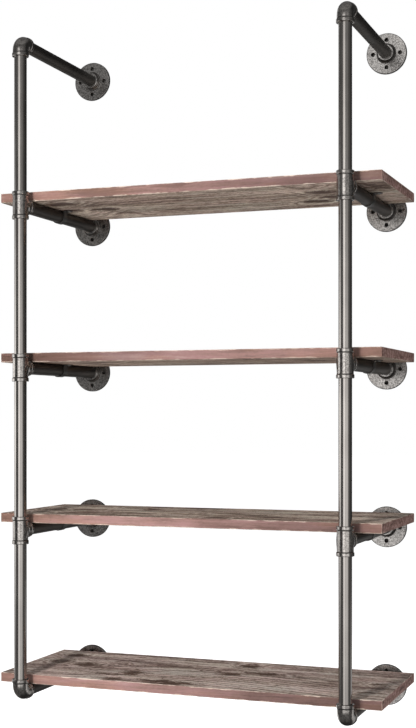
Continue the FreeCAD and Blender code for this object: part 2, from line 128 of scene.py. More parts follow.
class Graph:
    """Wires up one node tree, of a material, a world or Geometry Nodes."""

    def __init__(self, tree: bpy.types.NodeTree) -> None:
        """Takes over an empty node tree."""
        self.tree = tree

    def node(self, kind: str, inputs: Mapping | None = None, **settings: object) -> bpy.types.Node:
        """Adds a node.

        Args:
            kind: The node's type name.
            inputs: What to feed into its sockets, by socket name or number.
            settings: The node's own properties.

        Returns:
            The new node.
        """
        made = self.tree.nodes.new(kind)
        for name, value in settings.items():
            setattr(made, name, value)
        for key, value in (inputs or {}).items():
            self.feed(made.inputs[key], value)
        return made

    def feed(self, socket: bpy.types.NodeSocket, value: object) -> None:
        """Links a field or socket into a socket, or sets the socket's own value.

        Args:
            socket: The input socket.
            value: A field, an output socket or a plain value.
        """
        if isinstance(value, Field):
            self.tree.links.new(value.socket, socket)
        elif isinstance(value, bpy.types.NodeSocket):
            self.tree.links.new(value, socket)
        else:
            socket.default_value = value

    def math(self, operation: str, *values: Field | float) -> Field:
        """The result of a Math node."""
        made = self.node("ShaderNodeMath", dict(enumerate(values)), operation=operation)
        return Field(self, made.outputs[0])

    def chain(self, operation: str, values: Sequence[Field | float]) -> Field:
        """Works an operation on two values, then on the result and the next value, and so on."""
        return reduce(lambda found, value: self.math(operation, found, value), values)

    def parts(self, vector: bpy.types.NodeSocket) -> tuple[Field, Field, Field]:
        """Splits a vector into its three fields."""
        made = self.node("ShaderNodeSeparateXYZ", {0: vector})
        return tuple(Field(self, out) for out in made.outputs)

    def vector(self, *values: Field | float) -> bpy.types.NodeSocket:
        """Joins three fields into a vector."""
        return self.node("ShaderNodeCombineXYZ", dict(enumerate(values))).outputs[0]

    def largest(self, *values: Field | float) -> Field:
        """The largest of some fields."""
        return self.chain("MAXIMUM", values)

    def smallest(self, *values: Field | float) -> Field:
        """The smallest of some fields."""
        return self.chain("MINIMUM", values)

    def length(self, *values: Field) -> Field:
        """The length of a vector given by its fields."""
        return self.math("SQRT", self.chain("ADD", [value * value for value in values]))

    def mixed(self, first: Field, second: Field, share: Field | float) -> Field:
        """Two fields mixed, by the share of the second."""
        return first * (1.0 - share) + second * share

    def step(self, value: Field, start: Field | float, end: Field | float) -> Field:
        """Rises smoothly from 0 at start to 1 at end.

        Args:
            value: The field that is measured.
            start: Where the result is 0.
            end: Where the result is 1. It may be the lower of the two.

        Returns:
            A field from 0 to 1.
        """
        inputs = {"Value": value, "From Min": start, "From Max": end}
        made = self.node("ShaderNodeMapRange", inputs, interpolation_type="SMOOTHSTEP")
        return Field(self, made.outputs[0])

    def noise(
        self,
        place: bpy.types.NodeSocket,
        stretch: Triple,
        detail: float = 2.0,
        shift: Triple = (0.0, 0.0, 0.0),
    ) -> Field:
        """Cloudy noise from 0 to 1.

        Args:
            place: The point that the noise is read at.
            stretch: How many waves there are in a metre, along each axis.
            detail: How many finer octaves are added.
            shift: Moves the pattern, so that two patterns don't agree.

        Returns:
            The noise.
        """
        inputs = {0: place, 1: stretch, 2: shift}
        moved = self.node("ShaderNodeVectorMath", inputs, operation="MULTIPLY_ADD")
        inputs = {"Vector": moved.outputs[0], "Scale": 1.0, "Detail": detail}
        return Field(self, self.node("ShaderNodeTexNoise", inputs).outputs[0])

    def blend(self, share: Field, first: object, second: object) -> bpy.types.NodeSocket:
        """Mixes two colours.

        Args:
            share: How much of the second colour there is.
            first: A colour or a colour socket.
            second: A colour or a colour socket.

        Returns:
            The mixed colour's socket.
        """
        made = self.node("ShaderNodeMix", {0: share}, data_type="RGBA")
        for socket, colour in ((made.inputs[6], first), (made.inputs[7], second)):
            self.feed(socket, (*colour, 1.0) if isinstance(colour, tuple) else colour)
        return made.outputs[2]

    def ramp(self, value: Field, stops: Stops) -> bpy.types.NodeSocket:
        """Turns a field into a colour.

        Args:
            value: The field.
            stops: Where each colour is reached, in rising order.

        Returns:
            The colour's socket.
        """
        made = self.node("ShaderNodeValToRGB", {0: value})
        elements = made.color_ramp.elements
        while len(elements) < len(stops):
            elements.new(1.0)
        for element, (position, colour) in zip(elements, stops):
            element.position = position
            element.color = (*colour, 1.0)
        return made.outputs[0]

    def dimmed(self, colour: bpy.types.NodeSocket, factor: Field) -> bpy.types.NodeSocket:
        """A colour made lighter or darker by a factor."""
        inputs = {0: colour, "Scale": factor}
        return self.node("ShaderNodeVectorMath", inputs, operation="SCALE").outputs[0]

    def tinted(self, colour: bpy.types.NodeSocket, tint: object) -> bpy.types.NodeSocket:
        """A colour multiplied by another, channel by channel."""
        inputs = {0: colour, 1: tint}
        return self.node("ShaderNodeVectorMath", inputs, operation="MULTIPLY").outputs[0]


class Surface(Graph):
    """A material's tree, ending in one shader whose sockets the finish sets."""

    def __init__(self, name: str) -> None:
        """Makes the material.

        Args:
            name: The material's name.
        """
        self.material = bpy.data.materials.new(name)
        self.material.use_nodes = True
        super().__init__(self.material.node_tree)
        self.tree.nodes.clear()
        self.shader = self.node("ShaderNodeBsdfPrincipled")
        self.node("ShaderNodeOutputMaterial", {0: self.shader.outputs[0]})
        self.place = self.node("ShaderNodeTexCoord").outputs["Object"]

    def wear(self, **sockets: object) -> bpy.types.Material:
        """Sets the shader's sockets, with underscores for the spaces in their names.

        Args:
            sockets: A plain value, field or colour socket for each.

        Returns:
            The finished material.
        """
        for name, value in sockets.items():
            self.feed(self.shader.inputs[name.replace("_", " ")], value)
        return self.material

    def relief(self, height: Field, depth: float, strength: float = 1.0) -> bpy.types.NodeSocket:
        """A bumpy normal, from a height of 0 to 1 and the relief's depth in metres."""
        inputs = {"Height": height, "Distance": depth, "Strength": strength}
        return self.node("ShaderNodeBump", inputs).outputs[0]

    def attribute(self, name: str) -> bpy.types.Node:
        """Reads one of the piece's own attributes."""
        return self.node("ShaderNodeAttribute", attribute_name=name)

    def amount(self, name: str) -> Field:
        """One of the piece's own attributes that is a plain number."""
        return Field(self, self.attribute(name).outputs["Fac"])


class Shape(Graph):
    """A Geometry Nodes tree with named inputs, which makes the mesh of a piece."""

    def __init__(self, name: str) -> None:
        """Makes an empty tree with a mesh in and a mesh out.

        Args:
            name: The tree's name.
        """
        super().__init__(bpy.data.node_groups.new(name, "GeometryNodeTree"))
        for way in ("INPUT", "OUTPUT"):
            self.tree.interface.new_socket("Mesh", in_out=way, socket_type="NodeSocketGeometry")
        self.entry = self.node("NodeGroupInput")

    def given(self, name: str, kind: str = "NodeSocketFloat") -> Field:
        """Adds a named input and gives it as a field."""
        self.tree.interface.new_socket(name, in_out="INPUT", socket_type=kind)
        return Field(self, self.entry.outputs[name])

    def here(self) -> bpy.types.NodeSocket:
        """The position of the point that is being worked on."""
        return self.node("GeometryNodeInputPosition").outputs[0]

    def moved(self, mesh: bpy.types.NodeSocket, to: bpy.types.NodeSocket) -> bpy.types.NodeSocket:
        """Moves each point of a mesh to a place of its own."""
        inputs = {"Geometry": mesh, "Position": to}
        return self.node("GeometryNodeSetPosition", inputs).outputs[0]

    def shifted(self, mesh: bpy.types.NodeSocket, by: object) -> bpy.types.NodeSocket:
        """Shifts a whole mesh."""
        inputs = {"Geometry": mesh, "Translation": by}
        return self.node("GeometryNodeTransform", inputs).outputs[0]

    def marked(
        self,
        mesh: bpy.types.NodeSocket,
        name: str,
        value: Field | bpy.types.NodeSocket,
        kind: str = "FLOAT",
    ) -> bpy.types.NodeSocket:
        """Keeps a value on every point of a mesh, for its material to read.

        Args:
            mesh: The mesh.
            name: The attribute's name.
            value: Its value.
            kind: Its data type.

        Returns:
            The mesh with the attribute.
        """
        inputs = {"Geometry": mesh, "Name": name, "Value": value}
        made = self.node(
            "GeometryNodeStoreNamedAttribute", inputs, data_type=kind, domain="POINT"
        )
        return made.outputs[0]

    def end(self, mesh: bpy.types.NodeSocket, finish: Field) -> None:
        """Ends the tree in plain, smooth mesh with its finish on.

        Args:
            mesh: The geometry made so far.
            finish: The input that holds the material.
        """
        real = self.node("GeometryNodeRealizeInstances", {0: mesh})
        smooth = self.node("GeometryNodeSetShadeSmooth", {0: real.outputs[0]})
        inputs = {"Geometry": smooth.outputs[0], "Material": finish}
        dressed = self.node("GeometryNodeSetMaterial", inputs)
        self.node("NodeGroupOutput", {0: dressed.outputs[0]})

    def make(
        self,
        name: str,
        values: Mapping[str, object],
        points: Sequence[Vector] = (),
    ) -> bpy.types.Object:
        """Runs the tree and keeps its result as a plain mesh.

        Args:
            name: The name of the piece.
            values: The inputs' values, by name.
            points: Vertices to start from, where the tree needs them.

        Returns:
            The piece, at the origin, with no modifier left on it.
        """
        start = bpy.data.meshes.new(f"{name}_start")
        start.from_pydata([tuple(point) for point in points], [], [])
        piece = bpy.data.objects.new(name, start)
        bpy.context.scene.collection.objects.link(piece)
        modifier = piece.modifiers.new(self.tree.name, "NODES")
        modifier.node_group = self.tree
        for item in self.tree.interface.items_tree:
            if item.in_out == "INPUT" and item.name in values:
                modifier[item.identifier] = values[item.name]
        state = bpy.context.evaluated_depsgraph_get()
        mesh = bpy.data.meshes.new_from_object(
            piece.evaluated_get(state), preserve_all_data_layers=True, depsgraph=state
        )
        mesh.name = name
        piece.modifiers.clear()
        piece.data = mesh
        bpy.data.meshes.remove(start)
        return piece


# ------------------------------------------------------------------ finishes


class Along(Enum):
    """The way that the drawing lines of a metal run."""

    Y = (1.0, 0.08, 1.0)
    Z = (1.0, 1.0, 0.08)
    ALL = (1.0, 1.0, 1.0)


@dataclass(frozen=True)
class Metal:
    """Bare or plated metal with slight patches of tone, drawing lines and a fine relief."""

    name: str
    light: Colour
    dark: Colour
    smooth: float
    rough: float
    lines: Along = Along.ALL
    lines_per_metre: float = 260.0
    line_shift: Triple = (3.1, 1.7, 0.4)
    grain_depth: float = 0.00003
    patches_per_metre: float = 14.0
    tone_patches: float = 0.65
    sheen_patches: float = 0.5
    toning: Fade = Fade(0.36, 0.64)
    sheening: Fade = Fade(0.3, 0.7)

    def material(self) -> bpy.types.Material:
        """Builds the material.

        Returns:
            The material.
        """
        surface = Surface(self.name)
        patches = surface.noise(surface.place, (self.patches_per_metre,) * 3, detail=4.0)
        stretch = tuple(self.lines_per_metre * share for share in self.lines.value)
        lines = surface.noise(surface.place, stretch, detail=3.0, shift=self.line_shift)
        worn = self.toning.of(surface.mixed(lines, patches, self.tone_patches))
        sheen = self.sheening.of(surface.mixed(lines, patches, self.sheen_patches))
        return surface.wear(
            Base_Color=surface.blend(worn, self.dark, self.light),
            Metallic=1.0,
            Roughness=sheen * (self.rough - self.smooth) + self.smooth,
            Normal=surface.relief(lines, self.grain_depth),
        )


@dataclass(frozen=True)
class CastMetal:
    """Metal with the granular skin of a sand casting under its plating, and painted shade in its
    corners.
    """

    name: str
    light: Colour
    dark: Colour
    smooth: float
    rough: float
    grains_per_metre: float
    grain_depth: float
    grain_strength: float = 0.8
    clumps_per_metre: float = 80.0
    clump_shift: Triple = (0.7, 4.2, 1.9)
    clumping: float = 0.3
    clump_relief: float = 0.2
    toning: Fade = Fade(0.36, 0.64)
    sheening: Fade = Fade(0.25, 0.75)
    painted_shade_colour: Colour = (0.05, 0.045, 0.042)
    least_shade: float = 0.65
    clumped_shade: float = 0.5
    shaded_roughness: float = 0.25

    def shaded_places(self, surface: Surface) -> Field:
        """Where shade is painted, from 0 to 1, as the piece's own mesh says."""
        return surface.amount("groove")

    def material(self) -> bpy.types.Material:
        """Builds the material.

        Returns:
            The material.
        """
        surface = Surface(self.name)
        grains = surface.noise(surface.place, (self.grains_per_metre,) * 3, detail=3.0)
        stretch = (self.clumps_per_metre,) * 3
        clumps = surface.noise(surface.place, stretch, detail=3.0, shift=self.clump_shift)
        tone = self.toning.of(surface.mixed(grains, clumps, self.clumping))
        metal = surface.blend(tone, self.dark, self.light)
        # painted shade: the colour darkens where the mask is set, in grooves and recesses, and the
        # roughness rises there too
        shaded_places = self.shaded_places(surface)
        shade_share = shaded_places * (clumps * self.clumped_shade + self.least_shade)
        sheen = self.sheening.of(clumps) * (self.rough - self.smooth) + self.smooth
        height = surface.mixed(grains, clumps, self.clump_relief)
        return surface.wear(
            Base_Color=surface.blend(surface.smallest(shade_share, 1.0), metal, self.painted_shade_colour),
            Metallic=1.0,
            Roughness=sheen + shaded_places * self.shaded_roughness,
            Normal=surface.relief(height, self.grain_depth, self.grain_strength),
        )


@dataclass(frozen=True)
class FlangeMetal(CastMetal):
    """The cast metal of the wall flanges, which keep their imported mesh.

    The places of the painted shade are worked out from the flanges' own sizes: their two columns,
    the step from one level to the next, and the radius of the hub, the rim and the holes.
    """

    clumping: float = 0.12
    column: float = 0.3582
    pitch: float = 0.3485
    plate_face: float = -0.0052
    root_radius: float = 0.0212
    root_width: float = 0.0015
    root_core: float = 0.0007
    rim_radius: float = 0.0447
    rim_width: float = 0.0016
    hole_place: float = 0.03025
    hole_radius: float = 0.0040
    hole_width: float = 0.0008
    wall_radius: float = 0.0172
    wall_width: float = 0.0004
    wall_shade: float = 0.85
    softness: float = 0.0006
    side_fade: float = 0.1

    def shaded_places(self, surface: Surface) -> Field:
        """Where shade is painted: at the hub's root and wall, on the plate's rim and in its holes.

        The hub's wall gets painted shade only in the right column.

        Args:
            surface: The material's tree.

        Returns:
            A field from 0, unshaded, to 1.
        """
        # painted shade: dark rings at the hub's root, on the plate's rim and round its holes, and
        # on the hub's wall in the right column
        x, y, z = surface.parts(surface.place)
        level = surface.math("WRAP", z, self.pitch / 2, -self.pitch / 2)
        aside = abs(x) - self.column
        radius = surface.length(aside, level)
        root = surface.step(abs(radius - self.root_radius), self.root_width, self.root_core)
        root = root * surface.step(y, self.plate_face, self.plate_face - self.softness)
        rim = surface.step(radius, self.rim_radius - self.rim_width, self.rim_radius)
        beside = surface.length(abs(aside) - self.hole_place, level)
        above = surface.length(aside, abs(level) - self.hole_place)
        nearest = surface.smallest(beside, above)
        hole = surface.step(nearest, self.hole_radius + self.hole_width, self.hole_radius)
        wall = surface.step(radius, self.wall_radius, self.wall_radius + self.wall_width)
        wall = wall * surface.step(radius, self.root_radius, self.root_radius - self.softness)
        wall = wall * surface.step(x, -self.side_fade, self.side_fade) * self.wall_shade
        return surface.largest(root, wall, rim, hole)


@dataclass(frozen=True)
class BoardTones:
    """What makes one board's wood differ from the next board's.

    The shift moves its noise, and the pith is where its rings centre, across it and up from its
    middle. The tint and the contrast are those of its faces. Its long edges are lightest at their
    peak, a distance along the board, and fall off to their lowest over the spread. Worn is how
    pale its arrises are.
    """

    shift: Triple
    pith: tuple[float, float]
    tint: Triple
    edge_top: float
    edge_low: float = 0.52
    edge_peak: float = -0.16
    edge_core: float = 0.03
    edge_spread: float = 0.5
    contrast: float = 1.0
    worn: float = 0.62


class Layer(Enum):
    """The layers of noise in the wood.

    Each has the number of steps that it is moved by, its waves in a metre along each axis, and
    its finer octaves.
    """

    STREAKS = (0, (4.0, 62.0, 62.0), 4.0)
    FLECKS = (1, (38.0, 130.0, 130.0), 3.0)
    FIBRES = (2, (20.0, 430.0, 430.0), 3.0)
    SPECKS = (3, (170.0, 330.0, 330.0), 2.0)
    CLOUDS = (4, (8.0, 22.0, 22.0), 3.0)
    SWAY = (5, (1.3, 4.0, 4.0), 2.0)
    LIFT = (6, (1.7, 3.0, 3.0), 2.0)
    CRACKS = (7, (90.0, 70.0, 260.0), 3.0)
    BANDS = (8, (2.6, 21.0, 21.0), 3.0)
    HUES = (9, (13.0, 13.0, 90.0), 2.0)
    GREYS = (10, (5.0, 24.0, 24.0), 3.0)
    TINGES = (11, (7.0, 26.0, 26.0), 3.0)
    DRIFT = (12, (3.2, 9.0, 40.0), 2.0)
    CHIPS = (0, (38.0, 38.0, 38.0), 4.0)


Mix = Mapping[Layer, float]
FACE_MIX: Mix = {
    Layer.STREAKS: 0.42,
    Layer.FLECKS: 0.62,
    Layer.FIBRES: 0.36,
    Layer.CLOUDS: 0.2,
    Layer.BANDS: 0.58,
    Layer.SPECKS: 0.62,
}
EDGE_MIX: Mix = {
    Layer.STREAKS: 0.6,
    Layer.FIBRES: 0.3,
    Layer.CLOUDS: 0.42,
    Layer.BANDS: 0.36,
    Layer.SPECKS: 0.14,
}
END_MIX: Mix = {Layer.CRACKS: 0.55, Layer.SPECKS: 0.3, Layer.HUES: 0.35}
WARM_MIX: Mix = {Layer.DRIFT: 0.6, Layer.HUES: 0.4}
RAGGED_MIX: Mix = {Layer.FLECKS: 1.0, Layer.FIBRES: 0.6, Layer.STREAKS: 0.4, Layer.SPECKS: 0.7}
RELIEF_MIX: Mix = {Layer.FIBRES: 0.45, Layer.FLECKS: 0.2, Layer.SPECKS: 0.25}


class Grain:
    """What the colours of one board are mixed from: its attributes, its rings and its noise."""

    layer_step: float = 1.37
    rings_per_metre: float = 62.0
    rings_round_knot: float = 3.2
    sway_across: float = 0.09
    sway_up: float = 0.07

    def __init__(self, surface: Surface, tones: BoardTones, middle: Triple) -> None:
        """Reads the attributes that the board's mesh carries.

        Args:
            surface: The material's tree.
            tones: What is particular to the board.
            middle: The board's centre.
        """
        self.surface = surface
        self.tones = tones
        inputs = {0: surface.place, 1: middle}
        centred = surface.node("ShaderNodeVectorMath", inputs, operation="SUBTRACT")
        self.place = centred.outputs[0]
        self.along, self.across, self.up = surface.parts(self.place)
        self.end, self.edge, _ = surface.parts(surface.attribute("facing").outputs["Vector"])
        self.dent = surface.amount("dent")
        self.knot = surface.amount("knot")
        self.arris = surface.amount("arris")
        self.layers: dict[Layer, Field] = {}

    def layer(self, layer: Layer) -> Field:
        """One layer of noise, made when it is first asked for.

        Args:
            layer: Which one.

        Returns:
            The noise, from 0 to 1.
        """
        if layer not in self.layers:
            steps, stretch, detail = layer.value
            shift = tuple(value + self.layer_step * steps for value in self.tones.shift)
            self.layers[layer] = self.surface.noise(self.place, stretch, detail, shift)
        return self.layers[layer]

    def mixed(self, mix: Mix) -> Field:
        """Some layers of noise added up, each by its own share."""
        shares = [self.layer(layer) * share for layer, share in mix.items()]
        return self.surface.chain("ADD", shares)

    @cached_property
    def growth(self) -> Field:
        """Growth rings round a pith beside the board, which close round each knot.

        Returns:
            A field from 0, late wood, to 1, early wood.
        """
        pith_across, pith_up = self.tones.pith
        across = self.across - pith_across + (self.layer(Layer.SWAY) - 0.5) * self.sway_across
        up = self.up - pith_up + (self.layer(Layer.LIFT) - 0.5) * self.sway_up
        from_pith = self.surface.length(across, up)
        turns = from_pith * self.rings_per_metre + self.knot * self.rings_round_knot
        return self.surface.math("SINE", turns * (2 * math.pi)) * 0.5 + 0.5


@dataclass(frozen=True)
class WeatheredWood:
    """Softwood with a greyed face, a warm long edge, darker end grain and pale worn arrises.

    The face, the edge and the end each have their colours, how much the growth rings change
    their tone, and the mixed tone that gets the middle colour.
    """

    name: str
    tones: BoardTones
    middle: Triple
    half_length: float
    face: Stops = (
        (0.33, (0.105, 0.062, 0.048)),
        (0.42, (0.22, 0.154, 0.124)),
        (0.50, (0.345, 0.26, 0.214)),
        (0.58, (0.455, 0.36, 0.301)),
        (0.68, (0.63, 0.53, 0.455)),
    )
    face_rings: float = 0.12
    face_middle: float = 1.465
    knot_rings: float = 0.2
    edge: Stops = (
        (0.33, (0.195, 0.114, 0.098)),
        (0.45, (0.302, 0.179, 0.158)),
        (0.55, (0.361, 0.206, 0.195)),
        (0.68, (0.45, 0.3, 0.276)),
    )
    edge_rings: float = 0.06
    edge_middle: float = 0.94
    end: Stops = (
        (0.34, (0.14, 0.074, 0.06)),
        (0.50, (0.33, 0.182, 0.155)),
        (0.66, (0.52, 0.32, 0.28)),
    )
    end_rings: float = 0.12
    end_middle: float = 0.66
    greyness: Triple = (0.96, 1.01, 1.03)
    greying: Fade = Fade(0.42, 0.62)
    rosy: Colour = (1.03, 0.98, 0.965)
    mossy: Colour = (0.97, 1.01, 0.96)
    tinging: Fade = Fade(0.36, 0.64)
    end_shade: float = 0.12
    end_shade_length: float = 0.13
    bruise: Colour = (0.19, 0.123, 0.092)
    bruising: Fade = Fade(0.37, 0.5, 0.8)
    dent: Colour = (0.066, 0.036, 0.024)
    denting: Fade = Fade(0.56, 0.7, 0.95)
    ragged_middle: float = 1.35
    raggedness: float = 2.0
    warmth: Triple = (1.03, 1.005, 0.885)
    warming: Fade = Fade(0.42, 0.6)
    cool_place: float = 0.06
    warmer_per_metre: float = 0.45
    coolness: float = 0.1
    arris: Colour = (0.82, 0.68, 0.57)
    arris_fade: Fade = Fade(0.0005, -0.0006)
    chipping: Fade = Fade(0.42, 0.66, 0.0023)
    smooth: float = 0.6
    roughening: Fade = Fade(0.2, 0.8, 0.18)
    gloss: float = 0.3
    relief_rings: float = 0.1
    relief_depth: float = 0.0007
    relief_strength: float = 0.7

    def face_colour(self, grain: Grain) -> bpy.types.NodeSocket:
        """The colour of the wide faces, darker near the ends, with bruised dents.

        Args:
            grain: What the colour is mixed from.

        Returns:
            The colour's socket.
        """
        surface = grain.surface
        tone = grain.growth * (grain.knot * self.knot_rings + self.face_rings)
        tone = (tone + grain.mixed(FACE_MIX) - self.face_middle) * self.tones.contrast + 0.5
        face = surface.ramp(tone, self.face)
        greyed = self.greying.of(grain.layer(Layer.GREYS))
        face = surface.blend(greyed, face, surface.tinted(face, self.greyness))
        tinge = surface.blend(self.tinging.of(grain.layer(Layer.TINGES)), self.rosy, self.mossy)
        face = surface.tinted(surface.tinted(face, tinge), self.tones.tint)
        shade_start = self.half_length - self.end_shade_length
        near_end = surface.step(abs(grain.along), shade_start, self.half_length)
        face = surface.dimmed(face, 1.0 - near_end * self.end_shade)
        ragged = (grain.mixed(RAGGED_MIX) - self.ragged_middle) * self.raggedness + grain.dent
        face = surface.blend(self.bruising.of(ragged), face, self.bruise)
        return surface.blend(self.denting.of(ragged), face, self.dent)

    def edge_colour(self, grain: Grain) -> bpy.types.NodeSocket:
        """The colour of the long edges, which drifts from rosy to warm along the board.

        Args:
            grain: What the colour is mixed from.

        Returns:
            The colour's socket.
        """
        surface = grain.surface
        tones = self.tones
        tone = grain.mixed(EDGE_MIX) + grain.growth * self.edge_rings
        edge = surface.ramp(tone + (0.5 - self.edge_middle), self.edge)
        aside = abs(grain.along - self.cool_place) * self.warmer_per_metre
        warmer = self.warming.of(grain.mixed(WARM_MIX) + aside - self.coolness)
        edge = surface.blend(warmer, edge, surface.tinted(edge, self.warmth))
        away = abs(grain.along - tones.edge_peak)
        fall = surface.step(away, tones.edge_core, tones.edge_spread) * (1.0 - tones.edge_low)
        return surface.dimmed(edge, tones.edge_top - fall)

    def end_colour(self, grain: Grain) -> bpy.types.NodeSocket:
        """The colour of the end grain."""
        tone = grain.mixed(END_MIX) + grain.growth * self.end_rings + (0.5 - self.end_middle)
        return grain.surface.ramp(tone, self.end)

    def worn_arris(self, grain: Grain) -> Field:
        """How far the arrises are worn down to pale wood, in ragged chips."""
        reach = self.chipping.of(grain.layer(Layer.CHIPS))
        return self.arris_fade.of(grain.arris - reach) * self.tones.worn

    def material(self) -> bpy.types.Material:
        """Builds the material.

        Returns:
            The material.
        """
        surface = Surface(self.name)
        grain = Grain(surface, self.tones, self.middle)
        wood = surface.blend(grain.edge, self.face_colour(grain), self.edge_colour(grain))
        wood = surface.blend(grain.end, wood, self.end_colour(grain))
        wood = surface.blend(self.worn_arris(grain), wood, self.arris)
        height = grain.mixed(RELIEF_MIX) + grain.growth * self.relief_rings
        return surface.wear(
            Base_Color=wood,
            Roughness=self.roughening.of(grain.layer(Layer.STREAKS)) + self.smooth,
            Specular_IOR_Level=self.gloss,
            Normal=surface.relief(height, self.relief_depth, self.relief_strength),
        )


@dataclass(frozen=True)
class Finishes:
    """Every metal finish on the unit."""

    upright: Metal = Metal(
        name="upright_pewter",
        light=(0.33, 0.31, 0.29),
        dark=(0.285, 0.266, 0.25),
        smooth=0.13,
        rough=0.2,
        lines=Along.Z,
        grain_depth=0.000004,
    )
    fitting: CastMetal = CastMetal(
        name="fitting_pewter",
        light=(0.4, 0.376, 0.353),
        dark=(0.205, 0.191, 0.18),
        smooth=0.13,
        rough=0.22,
        grains_per_metre=360.0,
        grain_depth=0.00008,
    )
    # The arms' metal is a black finish, kept darker than the uprights' also as painted shade for
    # how dark the arms look under this light.
    arm: Metal = Metal(
        name="arm_black",
        light=(0.098, 0.088, 0.08),
        dark=(0.071, 0.064, 0.058),
        smooth=0.42,
        rough=0.54,
        lines=Along.Y,
        grain_depth=0.000004,
    )
    strap: Metal = Metal(
        name="strap_black",
        light=(0.12, 0.115, 0.11),
        dark=(0.08, 0.076, 0.072),
        smooth=0.35,
        rough=0.5,
    )
    screw: Metal = Metal(
        name="screw_steel",
        light=(0.42, 0.41, 0.40),
        dark=(0.3, 0.29, 0.28),
        smooth=0.25,
        rough=0.4,
    )
    flange: FlangeMetal = FlangeMetal(
        name="flange_cast",
        light=(0.48, 0.459, 0.44),
        dark=(0.18, 0.171, 0.163),
        smooth=0.26,
        rough=0.33,
        grains_per_metre=380.0,
        grain_depth=0.0002,
    )


# ------------------------------------------------------------------ pieces


def settle(piece: bpy.types.Object, slot: str, *nodes: str) -> None:
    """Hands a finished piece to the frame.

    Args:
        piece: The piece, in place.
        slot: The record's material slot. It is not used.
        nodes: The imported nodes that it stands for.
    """
    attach(piece, BODY)
    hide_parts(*nodes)
    LOG.info("%s: %d faces, stands for %s", piece.name, len(piece.data.polygons), ", ".join(nodes))


def dress(node: bpy.types.Object, material: bpy.types.Material) -> None:
    """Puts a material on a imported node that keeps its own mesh.

    Args:
        node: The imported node's object.
        material: Its material.
    """
    for slot in node.material_slots:
        slot.material = material
    LOG.info("%s: packed mesh, finish %s", node.name, material.name)


class Fitting(Enum):
    """The kinds of threaded fitting, by the ways that their sockets face."""

    TEE = "tee"
    TOP_ELBOW = "top_elbow"
    BOTTOM_ELBOW = "bottom_elbow"


Way = tuple[Field, Field]


